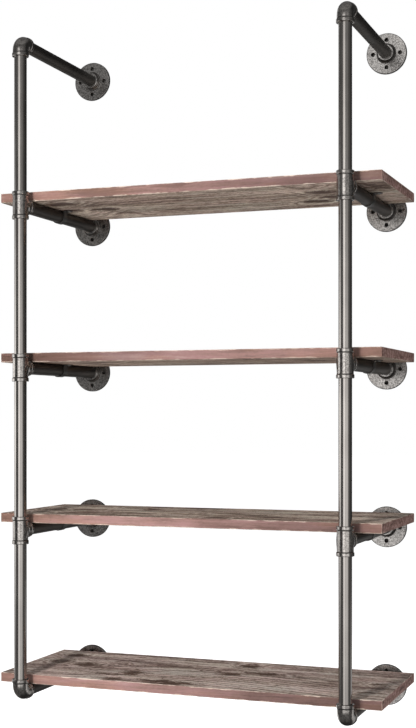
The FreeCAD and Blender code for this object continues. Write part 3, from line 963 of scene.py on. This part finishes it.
@dataclass
class Fittings:
    """The banded fittings along the uprights, cast with a soft throat and rounded bands.

    Each is worked out as a distance from its surface and then meshed, so that the run, the branch
    and the bands flow into each other as they do in a casting.
    """

    nodes: Mapping[str, bpy.types.Object]
    finish: CastMetal
    body_radius: float = 0.01665
    band_radius: float = 0.01805
    band_length: float = 0.0075
    reach: float = 0.0295
    bend_radius: float = 0.01715
    pipe_radius: float = 0.01345
    socket_depth: float = 0.0118
    passage_radius: float = 0.01085
    throat_blend: float = 0.009
    band_blend: float = 0.0008
    band_rounding: float = 0.0010
    body_inset: float = 0.0015
    mouth_rounding: float = 0.0005
    groove_inset: float = 0.0009
    groove_width: Fade = Fade(0.0012, 0.0005)
    groove_height: Fade = Fade(0.0008, 0.0003)
    voxel: float = 0.00068
    margin: float = 0.0014

    def build(self) -> None:
        """Builds every fitting."""
        material = self.finish.material()
        for kind in Fitting:
            tree = self.tree(kind)
            for node in sorted(self.nodes):
                if kind.value in node:
                    piece = tree.make(f"{node}_casting", self.inputs(kind, node, material))
                    settle(piece, "fitting", node)

    def sizes(self) -> dict[str, float]:
        """The sizes that every fitting is made to.

        Returns:
            The sizes, by the names of the tree's inputs.
        """
        return {
            "Body Radius": self.body_radius,
            "Band Radius": self.band_radius,
            "Band Length": self.band_length,
            "Reach": self.reach,
            "Bend Radius": self.bend_radius,
            "Pipe Radius": self.pipe_radius,
            "Socket Depth": self.socket_depth,
            "Passage Radius": self.passage_radius,
            "Voxel": self.voxel,
        }

    def inputs(self, kind: Fitting, node: str, material: bpy.types.Material) -> dict[str, object]:
        """The values of a fitting's inputs.

        Args:
            kind: The kind of fitting.
            node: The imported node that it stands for.
            material: Its finish.

        Returns:
            The values, by the names of the inputs.
        """
        low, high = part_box(node)
        across = (low.x + high.x) / 2
        depth = high.y - self.reach
        height = {
            Fitting.TEE: (low.z + high.z) / 2,
            Fitting.TOP_ELBOW: low.z + self.reach,
            Fitting.BOTTOM_ELBOW: high.z - self.reach,
        }[kind]
        return {**self.sizes(), "Place": (across, depth, height), "Finish": material}

    def tree(self, kind: Fitting) -> Shape:
        """Builds the tree that makes one kind of fitting about the origin.

        Args:
            kind: The kind of fitting.

        Returns:
            The tree.
        """
        shape = Shape(f"threaded_{kind.value}")
        size = {name: shape.given(name) for name in self.sizes()}
        place = shape.given("Place", "NodeSocketVector")
        finish = shape.given("Finish", "NodeSocketMaterial")
        reach = size["Reach"]
        band_start = reach - size["Band Length"]
        ways, shell, hollow = self.casting(shape, kind, size)
        grooves = []
        for radial, along in ways:
            ends = shape.largest(band_start - along, along - reach)
            band = radial - size["Band Radius"]
            collar = shape.math("SMOOTH_MAX", band, ends, self.band_rounding)
            shell = shape.math("SMOOTH_MIN", shell, collar, self.band_blend)
            bottom = reach - size["Socket Depth"] - along
            hollow = shape.smallest(hollow, shape.largest(radial - size["Pipe Radius"], bottom))
            # the grooves beside the bands are marked here for painted shade in the finish
            beside = self.groove_width.of(abs(along - band_start + self.groove_inset))
            grooves.append(beside * self.groove_height.of(radial - size["Body Radius"]))
        solid = shape.math("SMOOTH_MAX", shell, -hollow, self.mouth_rounding)
        skin = self.skin(shape, kind, size, solid)
        skin = shape.marked(skin, "groove", shape.largest(*grooves))
        shape.end(shape.shifted(skin, place), finish)
        return shape

    def casting(
        self, shape: Shape, kind: Fitting, size: Mapping[str, Field]
    ) -> tuple[tuple[Way, Way], Field, Field]:
        """The body of a fitting without its bands, and the passage through it.

        Args:
            shape: The tree.
            kind: The kind of fitting.
            size: The tree's inputs, by name.

        Returns:
            The distance from the centre line and the distance along it, for the upright and for
            the branch, and then the distances from the body and from the passage.
        """
        x, y, z = shape.parts(shape.here())
        bend, passage = size["Bend Radius"], size["Passage Radius"]
        branch = (shape.length(x, z), y)
        if kind is Fitting.TEE:
            upright = (shape.length(x, y), abs(z))
            run = self.capped(shape, *upright, size)
            side = shape.largest(self.capped(shape, *branch, size), -y)
            shell = shape.math("SMOOTH_MIN", run, side, self.throat_blend)
            hollow = shape.smallest(
                upright[0] - passage, shape.largest(branch[0] - passage, -y)
            )
        else:
            away = -z if kind is Fitting.TOP_ELBOW else z
            upright = (shape.length(x, y), away)
            back = shape.smallest(y - bend, 0.0)
            out = shape.largest(bend - away, 0.0)
            ring = shape.length(shape.length(back, out) - bend, x)
            shell = self.capped(shape, ring, shape.largest(away, y), size)
            hollow = ring - passage
        return (upright, branch), shell, hollow

    def capped(
        self, shape: Shape, radial: Field, along: Field, size: Mapping[str, Field]
    ) -> Field:
        """The distance from a round bar that ends a little inside its band."""
        end = along - size["Reach"] + self.body_inset
        return shape.largest(radial - size["Body Radius"], end)

    def skin(
        self, shape: Shape, kind: Fitting, size: Mapping[str, Field], solid: Field
    ) -> bpy.types.NodeSocket:
        """Meshes the surface where a distance is zero, inside a box that holds the fitting.

        Args:
            shape: The tree.
            kind: The kind of fitting.
            size: The tree's inputs, by name.
            solid: The distance, negative inside the metal.

        Returns:
            The mesh.
        """
        near = size["Band Radius"] + self.margin
        far = size["Reach"] + self.margin
        low = (-near, -near, -near if kind is Fitting.BOTTOM_ELBOW else -far)
        high = (near, far, near if kind is Fitting.TOP_ELBOW else far)
        inputs = {
            "Density": -solid,
            "Background": -self.margin,
            "Min": shape.vector(*low),
            "Max": shape.vector(*high),
        }
        for axis, first, last in zip("XYZ", low, high):
            inputs[f"Resolution {axis}"] = (last - first) / size["Voxel"]
        cube = shape.node("GeometryNodeVolumeCube", inputs)
        inputs = {"Volume": cube.outputs[0], "Threshold": 0.0}
        return shape.node("GeometryNodeVolumeToMesh", inputs).outputs[0]


@dataclass(frozen=True)
class Dent:
    """A knock or knot hole in a board's face, in millimetres, and how strongly it shows.

    Its place is measured from the board's centre, along the board and then across it.
    """

    along: float
    across: float
    length: float
    width: float
    strength: float = 1.0


FACE_DENTS = (
    Dent(-358, 91, 36, 30),
    Dent(-337, 48, 36, 15, 0.7),
    Dent(-363, 15, 40, 38, 0.8),
    Dent(-287, -2, 50, 32),
    Dent(-219, 24, 30, 22, 0.6),
    Dent(63, 98, 44, 34),
    Dent(123, 31, 58, 22),
    Dent(53, 0, 50, 22),
    Dent(-3, 24, 36, 24, 0.45),
    Dent(-153, -59, 38, 48, 0.95),
    Dent(-206, -88, 60, 22, 0.8),
    Dent(-163, -134, 50, 26),
    Dent(-47, -131, 120, 36, 0.95),
    Dent(-23, -49, 52, 26, 0.5),
    Dent(0, -70, 240, 120, 0.3),
    Dent(196, -81, 40, 16, 0.5),
    Dent(380, 5, 30, 26, 0.8),
    Dent(384, -86, 60, 12, 0.7),
)
UNDER_DENTS = (
    Dent(-251, 10, 56, 34, 1.15),
    Dent(-226, 56, 66, 60, 0.55),
    Dent(-311, -86, 60, 38, 1.15),
    Dent(-330, 2, 50, 30, 1.05),
    Dent(226, 66, 58, 28, 1.15),
    Dent(276, 19, 48, 32, 1.0),
    Dent(271, -48, 58, 42, 0.9),
    Dent(251, -106, 60, 34, 0.6),
    Dent(396, -70, 48, 54, 0.85),
)


@dataclass(frozen=True)
class BoardPlan:
    """What makes one board differ from the next: its tones, and how the marks on its faces lie.

    A face's lie is 1 or -1 for the way along the board and for the way across it.
    """

    level: int
    tones: BoardTones
    top_lie: tuple[int, int] = (1, 1)
    under_lie: tuple[int, int] = (1, 1)


BOARD_PLANS = (
    BoardPlan(
        level=1,
        tones=BoardTones(
            shift=(0.0, 0.0, 0.0), pith=(0.03, -0.05), tint=(1.02, 1.0, 1.06), edge_top=0.95
        ),
        under_lie=(-1, -1),
    ),
    BoardPlan(
        level=2,
        tones=BoardTones(
            shift=(2.3, 5.1, 0.7),
            pith=(-0.05, -0.06),
            tint=(0.96, 0.95, 0.94),
            edge_top=1.04,
            edge_low=0.55,
            contrast=1.6,
            worn=0.4,
        ),
        top_lie=(1, -1),
        under_lie=(-1, 1),
    ),
    BoardPlan(
        level=3,
        tones=BoardTones(
            shift=(7.9, 1.3, 3.1),
            pith=(0.02, 0.05),
            tint=(0.86, 0.8, 0.76),
            edge_top=0.9,
            edge_peak=0.16,
            worn=0.42,
        ),
        top_lie=(-1, -1),
        under_lie=(-1, -1),
    ),
    BoardPlan(
        level=4,
        tones=BoardTones(
            shift=(4.4, 8.2, 6.6), pith=(-0.02, 0.045), tint=(1.12, 1.12, 1.11), edge_top=0.94
        ),
        top_lie=(-1, 1),
    ),
)


@dataclass
class Boards:
    """The four boards, with rounded and nicked arrises and dented faces."""

    columns: int = 360
    rows: int = 100
    layers: int = 8
    crowding: float = 0.86
    arris: float = 0.0012
    nick: float = 0.0008
    dent_depth: float = 0.0007
    denting: Fade = Fade(2.3, 0.0)
    knotting: Fade = Fade(3.4, 0.0)
    sway_waves: Triple = (45.0, 70.0, 3.0)
    sway_along: float = 30.0
    swing_waves: Triple = (40.0, 60.0, 3.0)
    swing_shift: Triple = (5.0, 2.0, 1.0)
    swing_across: float = 24.0
    chips_per_metre: float = 55.0
    chip_squash: float = 2.0
    chip_step: float = 3.0
    chipping: Fade = Fade(0.6, 0.74)
    end_arris_inset: float = 0.0006

    def build(self) -> None:
        """Builds every board."""
        for plan in BOARD_PLANS:
            node = f"shelf_board_{plan.level}"
            low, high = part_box(node)
            size = high - low
            middle = tuple((low + high) / 2)
            finish = WeatheredWood(f"board_{plan.level}_wood", plan.tones, middle, size.x / 2)
            values = {
                "Size": tuple(size),
                "Place": middle,
                "Arris": self.arris,
                "Nick": self.nick,
                "Dent Depth": self.dent_depth,
                "Seed": float(plan.level),
                "Finish": finish.material(),
            }
            piece = self.tree(plan).make(f"board_{plan.level}", values)
            settle(piece, "board", node)

    def tree(self, plan: BoardPlan) -> Shape:
        """Builds the tree that makes one board.

        Args:
            plan: What is particular to the board.

        Returns:
            The tree.
        """
        shape = Shape(f"weathered_board_{plan.level}")
        size = shape.given("Size", "NodeSocketVector")
        place = shape.given("Place", "NodeSocketVector")
        arris = shape.given("Arris")
        nick = shape.given("Nick")
        dent_depth = shape.given("Dent Depth")
        seed = shape.given("Seed")
        finish = shape.given("Finish", "NodeSocketMaterial")
        half = [axis * 0.5 for axis in shape.parts(size.socket)]
        block = self.block(shape, size, half)

        here = shape.parts(shape.here())
        x, y, z = here
        nearby = shape.vector(x + seed * self.chip_step, y, z * self.chip_squash)
        chips = shape.noise(nearby, (self.chips_per_metre,) * 3, detail=3.0)
        radius = arris + self.chipping.of(chips) * nick
        core = [
            shape.smallest(shape.largest(value, radius - limit), limit - radius)
            for value, limit in zip(here, half)
        ]
        off = [value - inner for value, inner in zip(here, core)]
        reach = shape.length(*off)
        facing = [value / reach for value in off]
        end, edge, face = (value * value for value in facing)
        dents, knots = (part * face for part in self.dents(shape, plan, x, y, facing[2]))
        gaps = [limit - abs(value) for value, limit in zip(here, half)]
        nearest = shape.smallest(
            shape.length(gaps[1], gaps[2]),
            shape.length(gaps[0], gaps[2]) + self.end_arris_inset,
            shape.length(gaps[0], gaps[1]) + self.end_arris_inset,
        )
        block = shape.marked(block, "facing", shape.vector(end, edge, face), "FLOAT_VECTOR")
        for name, value in (("dent", dents), ("knot", knots), ("arris", nearest)):
            block = shape.marked(block, name, value)
        depth = radius - dents * dent_depth
        sunk = [inner + value * depth for inner, value in zip(core, facing)]
        block = shape.moved(block, shape.vector(*sunk))
        shape.end(shape.shifted(block, place), finish)
        return shape

    def block(self, shape: Shape, size: Field, half: Sequence[Field]) -> bpy.types.NodeSocket:
        """A block of the board's size, with its points crowded together towards its arrises.

        Args:
            shape: The tree.
            size: The board's size.
            half: Half of it, along each axis.

        Returns:
            The mesh.
        """
        inputs = {
            "Size": size,
            "Vertices X": self.columns,
            "Vertices Y": self.rows,
            "Vertices Z": self.layers,
        }
        block = shape.node("GeometryNodeMeshCube", inputs).outputs["Mesh"]
        reach = self.crowding * math.pi / 2
        spread = [
            shape.math("SINE", value / limit * reach) * limit / math.sin(reach)
            for value, limit in zip(shape.parts(shape.here()), half)
        ]
        return shape.moved(block, shape.vector(*spread))

    def dents(
        self, shape: Shape, plan: BoardPlan, x: Field, y: Field, up: Field
    ) -> tuple[Field, Field]:
        """How deep in a dent, and how near a knot, each point of a board's faces is.

        Args:
            shape: The tree.
            plan: What is particular to the board.
            x: The distance along the board from its centre.
            y: The distance across it.
            up: 1 on the upper face and -1 on the lower.

        Returns:
            Two fields from 0 to 1.
        """
        ragged = shape.vector(x, y, up)
        sway = shape.noise(ragged, self.sway_waves, detail=3.0) - 0.5
        swing = shape.noise(ragged, self.swing_waves, detail=3.0, shift=self.swing_shift) - 0.5
        sides = []
        for lie, marks in ((plan.top_lie, FACE_DENTS), (plan.under_lie, UNDER_DENTS)):
            along = x * (MM_PER_METRE * lie[0]) + sway * self.sway_along
            across = y * (MM_PER_METRE * lie[1]) + swing * self.swing_across
            inside = [
                shape.length(
                    (along - mark.along) / (mark.length / 2),
                    (across - mark.across) / (mark.width / 2),
                )
                for mark in marks
            ]
            deep = [self.denting.of(one) * mark.strength for one, mark in zip(inside, marks)]
            near = [self.knotting.of(one) for one in inside]
            sides.append((shape.largest(*deep), shape.largest(*near)))
        upper = shape.step(up, -0.5, 0.5)
        return tuple(shape.mixed(under, top, upper) for top, under in zip(*sides))


@dataclass
class Screws:
    """The slotted screws that hold the straps up against the boards.

    The profile is turned round the screw's axis: radius and height, from the crown to the point.
    """

    finish: Metal
    foot_margin: float = 0.0081
    strap_thickness: float = 0.0018
    slot_length: float = 0.01
    slot_width: float = 0.0012
    slot_depth: float = 0.0011
    merge_distance: float = 0.000005
    levels: tuple[int, ...] = (1, 2, 3, 4)
    sides: int = 28
    profile: tuple[tuple[float, float], ...] = (
        (0.0, -0.0024),
        (0.0014, -0.00232),
        (0.0026, -0.00205),
        (0.0035, -0.0015),
        (0.0040, -0.0008),
        (0.0041, -0.0003),
        (0.0040, 0.0),
        (0.0020, 0.00002),
        (0.0020, 0.0131),
        (0.0, 0.0163),
    )

    def build(self) -> None:
        """Builds the screws of each board's straps."""
        tree = self.tree()
        material = self.finish.material()
        for level in self.levels:
            values = {"Seed": level, "Finish": material}
            piece = tree.make(f"screws_{level}", values, self.places(level))
            settle(piece, "screw", f"strap_screws_{level}")

    def places(self, level: int) -> list[Vector]:
        """The points under a board's straps where the screws' heads meet the feet.

        Args:
            level: The board's number.

        Returns:
            Four points.
        """
        found = []
        for side in ("left", "right"):
            low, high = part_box(f"{side}_strap_{level}")
            depth = (low.y + high.y) / 2
            height = high.z - self.strap_thickness
            for across in (low.x + self.foot_margin, high.x - self.foot_margin):
                found.append(Vector((across, depth, height)))
        return found

    def tree(self) -> Shape:
        """Builds the tree that puts a screw on each point it is given.

        Returns:
            The tree.
        """
        shape = Shape("slotted_screws")
        seed = shape.given("Seed", "NodeSocketInt")
        finish = shape.given("Finish", "NodeSocketMaterial")
        join = shape.node("GeometryNodeJoinGeometry")
        for (near, low), (far, high) in zip(self.profile, self.profile[1:]):
            inputs = {
                "Vertices": self.sides,
                "Radius Bottom": near,
                "Radius Top": far,
                "Depth": high - low,
            }
            ring = shape.node("GeometryNodeMeshCone", inputs, fill_type="NONE")
            lifted = shape.shifted(ring.outputs["Mesh"], (0.0, 0.0, low))
            shape.feed(join.inputs[0], lifted)
        inputs = {"Geometry": join.outputs[0], "Distance": self.merge_distance}
        turned = shape.node("GeometryNodeMergeByDistance", inputs)
        bar = (self.slot_length, self.slot_width, self.slot_depth * 2)
        slot = shape.node("GeometryNodeMeshCube", {"Size": bar}).outputs["Mesh"]
        _, crown = self.profile[0]
        cut = shape.node("GeometryNodeMeshBoolean", operation="DIFFERENCE", solver="EXACT")
        shape.feed(cut.inputs["Mesh 1"], turned.outputs[0])
        shape.feed(cut.inputs["Mesh 2"], shape.shifted(slot, (0.0, 0.0, crown)))
        inputs = {"Min": 0.0, "Max": math.pi, "Seed": seed}
        angle = shape.node("FunctionNodeRandomValue", data_type="FLOAT")
        for socket in angle.inputs:
            if socket.enabled and socket.name in inputs:
                shape.feed(socket, inputs[socket.name])
        drawn = next(out for out in angle.outputs if out.enabled)
        inputs = {
            "Points": shape.entry.outputs["Mesh"],
            "Instance": cut.outputs["Mesh"],
            "Rotation": shape.vector(0.0, 0.0, Field(shape, drawn)),
        }
        placed = shape.node("GeometryNodeInstanceOnPoints", inputs)
        shape.end(placed.outputs[0], finish)
        return shape


@dataclass
class Frame:
    """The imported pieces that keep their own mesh: pipes, wall flanges and straps."""

    nodes: Mapping[str, bpy.types.Object]
    finishes: Finishes

    def build(self) -> None:
        """Dresses every such piece."""
        for word, finish in (
            ("upright_pipe", self.finishes.upright),
            ("arm_pipe", self.finishes.arm),
            ("wall_flange", self.finishes.flange),
            ("strap_", self.finishes.strap),
        ):
            material = finish.material()
            for name in sorted(self.nodes):
                if word in name and "screws" not in name:
                    dress(self.nodes[name], material)


# ------------------------------------------------------------------ studio


@dataclass(frozen=True)
class Panel:
    """A lit part of the tent round the unit, in degrees as seen from the tent's middle.

    Azimuth 0 is straight in front of the unit and 90 is on its right. A panel falls to half its
    strength at its half width and half height, over a fade to either side of each.
    """

    azimuth: float
    half_width: float
    side_fade: float
    elevation: float
    half_height: float
    height_fade: float
    strength: float


@dataclass(frozen=True)
class Lamp:
    """A soft rectangular lamp that shines at the unit's middle.

    Its direction is given as a panel's, its distance and its size, width by height, in metres,
    and its power in watts.
    """

    name: str
    azimuth: float
    elevation: float
    distance: float
    size: tuple[float, float]
    power: float


@dataclass
class Studio:
    """Floor, lamps, reflection tent and camera."""

    flanges: Sequence[str]
    middle: Triple = (0.0, -0.2, 0.65)
    ambient: float = 0.28
    floor_height: float = -0.42
    floor_side: float = 60.0
    floor_tones: tuple[Colour, Colour] = ((0.87, 0.87, 0.87), (0.89, 0.89, 0.89))
    floor_glow: float = 0.8
    speckles_per_metre: float = 30.0
    # painted shadow: dark discs that stand right behind the flanges' screw holes
    hole_shadow_circle: float = 0.0605
    hole_shadow_radius: float = 0.0039
    hole_shadow_gap: float = 0.0004
    hole_shadows_per_flange: int = 4
    hole_shadow_sides: int = 20
    hole_shadow_tones: tuple[Colour, Colour] = ((0.03, 0.028, 0.026), (0.07, 0.065, 0.06))
    shadow_mottles_per_metre: float = 900.0
    sensor_width: float = 36.0
    lens_length: float = 66.93
    lens_shift: tuple[float, float] = (0.0085, 0.0696)
    camera_place: Triple = (1.0297, -2.947, 0.5964)
    camera_turn: float = 20.628
    far_clip: float = 200.0
    lamps: tuple[Lamp, ...] = (
        Lamp("key", azimuth=-5.5, elevation=30.0, distance=3.4, size=(0.26, 1.2), power=86.0),
        Lamp("low_fill", azimuth=-5.5, elevation=-24.0, distance=2.4, size=(0.3, 0.5), power=25.0),
        Lamp("overhead", azimuth=0.0, elevation=88.0, distance=2.9, size=(3.2, 3.2), power=30.0),
        Lamp("back_fill", azimuth=180.0, elevation=12.0, distance=3.2, size=(2.0, 1.4), power=14.0),
    )
    tent_radius: float = 5.0
    tent_segments: int = 48
    tent_rings: int = 24
    tent_dark: float = 0.05
    panels: tuple[Panel, ...] = (
        # in front: the bright stripe down each pipe
        Panel(0.5, 15.5, 8.0, 3.0, 24.0, 18.0, 2.25),
        # on the right: the softer stripe beside it
        Panel(41.0, 22.0, 12.0, -6.0, 13.0, 11.0, 1.15),
        Panel(41.0, 22.0, 12.0, 0.0, 40.0, 15.0, 0.25),
        # on the left: the narrow stripes near the left side of each pipe
        Panel(-84.0, 20.0, 10.0, -0.5, 8.5, 11.0, 2.7),
        Panel(-125.0, 11.0, 6.0, 0.0, 40.0, 15.0, 0.9),
        # in front: a faint glow over everything
        Panel(0.0, 105.0, 20.0, 0.0, 80.0, 10.0, 0.13),
        # low on both sides behind: the undersides of the arms
        Panel(142.0, 24.0, 8.0, -27.0, 12.0, 5.0, 0.5),
        Panel(-142.0, 24.0, 8.0, -27.0, 12.0, 5.0, 0.5),
        Panel(126.0, 14.0, 6.0, -24.0, 12.0, 5.0, 0.45),
        Panel(-126.0, 14.0, 6.0, -24.0, 12.0, 5.0, 0.45),
        # overhead, all round
        Panel(0.0, 200.0, 5.0, 70.0, 20.0, 10.0, 0.2),
        # on the plates of the left flanges: a lighter patch, and a flag that takes some light off
        Panel(-32.0, 10.0, 8.0, 27.0, 9.0, 6.0, 0.1),
        Panel(-33.0, 10.0, 8.0, -8.0, 16.0, 10.0, -0.08),
        # behind: the backs of the pipes
        Panel(180.0, 10.0, 4.0, 0.0, 13.0, 5.0, 0.7),
    )

    def build(self) -> None:
        """Sets up the whole studio."""
        self.world()
        self.floor()
        # discs of painted shadow behind the flanges' screw holes
        self.hole_shadow_discs()
        self.tent()
        for lamp in self.lamps:
            self.light(lamp)
        self.camera()
        # the drilled wall named in this text is the discs of painted shadow behind the flanges'
        # holes
        LOG.info("studio: floor, drilled wall, tent, %d lamps and camera", len(self.lamps))

    @staticmethod
    def seen(graph: Graph) -> Field:
        """1 for a ray from the camera or by way of a mirror or glass, and else 0.

        Args:
            graph: The tree of a world or a material.

        Returns:
            The field.
        """
        path = graph.node("ShaderNodeLightPath")
        names = ("Is Camera Ray", "Is Glossy Ray", "Is Transmission Ray")
        return graph.largest(*(Field(graph, path.outputs[name]) for name in names))

    @staticmethod
    def flat(
        name: str,
        corners: Sequence[Triple],
        faces: Sequence[Sequence[int]],
        material: bpy.types.Material,
    ) -> bpy.types.Object:
        """Makes a stage piece of flat faces.

        Args:
            name: The piece's name.
            corners: The points of its faces.
            faces: The numbers of each face's points.
            material: Its material.

        Returns:
            The piece.
        """
        mesh = bpy.data.meshes.new(name)
        mesh.from_pydata(corners, [], faces)
        mesh.materials.append(material)
        piece = bpy.data.objects.new(name, mesh)
        bpy.context.scene.collection.objects.link(piece)
        return piece

    def world(self) -> None:
        """A white world that lights the unit less than it shows behind it."""
        world = bpy.data.worlds.new("white_room")
        world.use_nodes = True
        bpy.context.scene.world = world
        graph = Graph(world.node_tree)
        graph.tree.nodes.clear()
        strength = self.seen(graph) * (1.0 - self.ambient) + self.ambient
        inputs = {"Color": (1.0, 1.0, 1.0, 1.0), "Strength": strength}
        light = graph.node("ShaderNodeBackground", inputs)
        graph.node("ShaderNodeOutputWorld", {0: light.outputs[0]})

    def floor(self) -> None:
        """A plain pale floor below the unit, which keeps its shadow and is clear from below."""
        surface = Surface("floor_white")
        speckle = surface.noise(surface.place, (self.speckles_per_metre,) * 3)
        below = Field(surface, surface.node("ShaderNodeNewGeometry").outputs["Backfacing"])
        material = surface.wear(
            Base_Color=surface.blend(speckle, *self.floor_tones),
            Roughness=1.0,
            Specular_IOR_Level=0.0,
            Emission_Color=(1.0, 1.0, 1.0, 1.0),
            Emission_Strength=self.seen(surface) * self.floor_glow,
            Alpha=1.0 - below,
        )
        side = self.floor_side / 2
        corners = [
            (x, y, self.floor_height)
            for x, y in ((-side, -side), (side, -side), (side, side), (-side, side))
        ]
        floor = self.flat("floor", corners, [(0, 1, 2, 3)], material)
        floor.visible_glossy = False

    def hole_shadow_discs(self) -> None:
        """Discs of painted shadow right behind the flanges' screw holes, so that the holes show
        dark.
        """
        surface = Surface("hole_shadow_dark")
        shadow_mottle = surface.noise(surface.place, (self.shadow_mottles_per_metre,) * 3)
        dark = surface.blend(shadow_mottle, *self.hole_shadow_tones)
        material = surface.wear(Base_Color=dark, Roughness=1.0, Specular_IOR_Level=0.0)
        corners, faces = [], []
        for flange in self.flanges:
            low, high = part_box(flange)
            for hole in range(self.hole_shadows_per_flange):
                angle = hole * 2 * math.pi / self.hole_shadows_per_flange
                across = (low.x + high.x + math.cos(angle) * self.hole_shadow_circle) / 2
                height = (low.z + high.z + math.sin(angle) * self.hole_shadow_circle) / 2
                faces.append(tuple(range(len(corners), len(corners) + self.hole_shadow_sides)))
                for side in range(self.hole_shadow_sides):
                    turn = side * 2 * math.pi / self.hole_shadow_sides
                    along = across + math.cos(turn) * self.hole_shadow_radius
                    up = height + math.sin(turn) * self.hole_shadow_radius
                    corners.append((along, self.hole_shadow_gap, up))
        # the discs of painted shadow, as one stage piece
        wall = self.flat("hole_shadow_discs", corners, faces, material)

    def tent(self) -> None:
        """A dark tent with lit panels, which only reflections show."""
        bpy.ops.mesh.primitive_uv_sphere_add(
            segments=self.tent_segments,
            ring_count=self.tent_rings,
            radius=self.tent_radius,
            location=self.middle,
        )
        tent = bpy.context.object
        tent.name = "tent"
        tent.data.materials.append(self.tent_cloth())
        tent.visible_camera = False
        tent.visible_diffuse = False
        tent.visible_shadow = False
        tent.visible_transmission = False

    def tent_cloth(self) -> bpy.types.Material:
        """The tent's material, which glows where its panels are.

        Returns:
            The material.
        """
        material = bpy.data.materials.new("tent_cloth")
        material.use_nodes = True
        graph = Graph(material.node_tree)
        graph.tree.nodes.clear()
        x, y, z = graph.parts(graph.node("ShaderNodeTexCoord").outputs["Object"])
        azimuth = graph.math("ARCTAN2", x, -y) * math.degrees(1.0)
        elevation = graph.math("ARCTAN2", z, graph.length(x, y)) * math.degrees(1.0)
        glows = []
        for panel in self.panels:
            turn = graph.math("WRAP", azimuth - panel.azimuth, 180.0, -180.0)
            outer = panel.half_width + panel.side_fade
            inner = panel.half_width - panel.side_fade
            sideways = graph.step(abs(turn), outer, inner)
            outer = panel.half_height + panel.height_fade
            inner = panel.half_height - panel.height_fade
            upwards = graph.step(abs(elevation - panel.elevation), outer, inner)
            glows.append(sideways * upwards * panel.strength)
        inputs = {"Strength": graph.chain("ADD", glows) + self.tent_dark}
        light = graph.node("ShaderNodeEmission", inputs)
        graph.node("ShaderNodeOutputMaterial", {0: light.outputs[0]})
        return material

    def light(self, lamp: Lamp) -> None:
        """Hangs one lamp.

        Args:
            lamp: What it is and where it hangs.
        """
        light = bpy.data.lights.new(lamp.name, "AREA")
        light.shape = "RECTANGLE"
        light.size, light.size_y = lamp.size
        light.energy = lamp.power
        hung = bpy.data.objects.new(lamp.name, light)
        around, up = math.radians(lamp.azimuth), math.radians(lamp.elevation)
        towards = Vector(
            (math.sin(around) * math.cos(up), -math.cos(around) * math.cos(up), math.sin(up))
        )
        hung.location = Vector(self.middle) + towards * lamp.distance
        hung.rotation_euler = towards.to_track_quat("Z", "Y").to_euler()
        hung.visible_camera = False
        hung.visible_glossy = False
        bpy.context.scene.collection.objects.link(hung)

    def camera(self) -> None:
        """The camera, level and to the right of the unit, with a small shift of its lens."""
        lens = bpy.data.cameras.new("camera")
        lens.sensor_width = self.sensor_width
        lens.lens = self.lens_length
        lens.shift_x, lens.shift_y = self.lens_shift
        lens.clip_end = self.far_clip
        camera = bpy.data.objects.new("camera", lens)
        camera.location = self.camera_place
        camera.rotation_euler = (math.radians(90.0), 0.0, math.radians(self.camera_turn))
        bpy.context.scene.collection.objects.link(camera)
        bpy.context.scene.camera = camera


def main() -> None:
    """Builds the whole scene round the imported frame."""
    logging.basicConfig(level=logging.INFO, format="%(name)s: %(message)s")
    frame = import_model()
    finishes = Finishes()
    Frame(frame["nodes"], finishes).build()
    Fittings(frame["nodes"], finishes.fitting).build()
    Boards().build()
    Screws(finishes.screw).build()
    Studio([name for name in frame["nodes"] if "wall_flange" in name]).build()
    bpy.context.scene.view_settings.view_transform = "Standard"


if __name__ == "__main__":
    main()
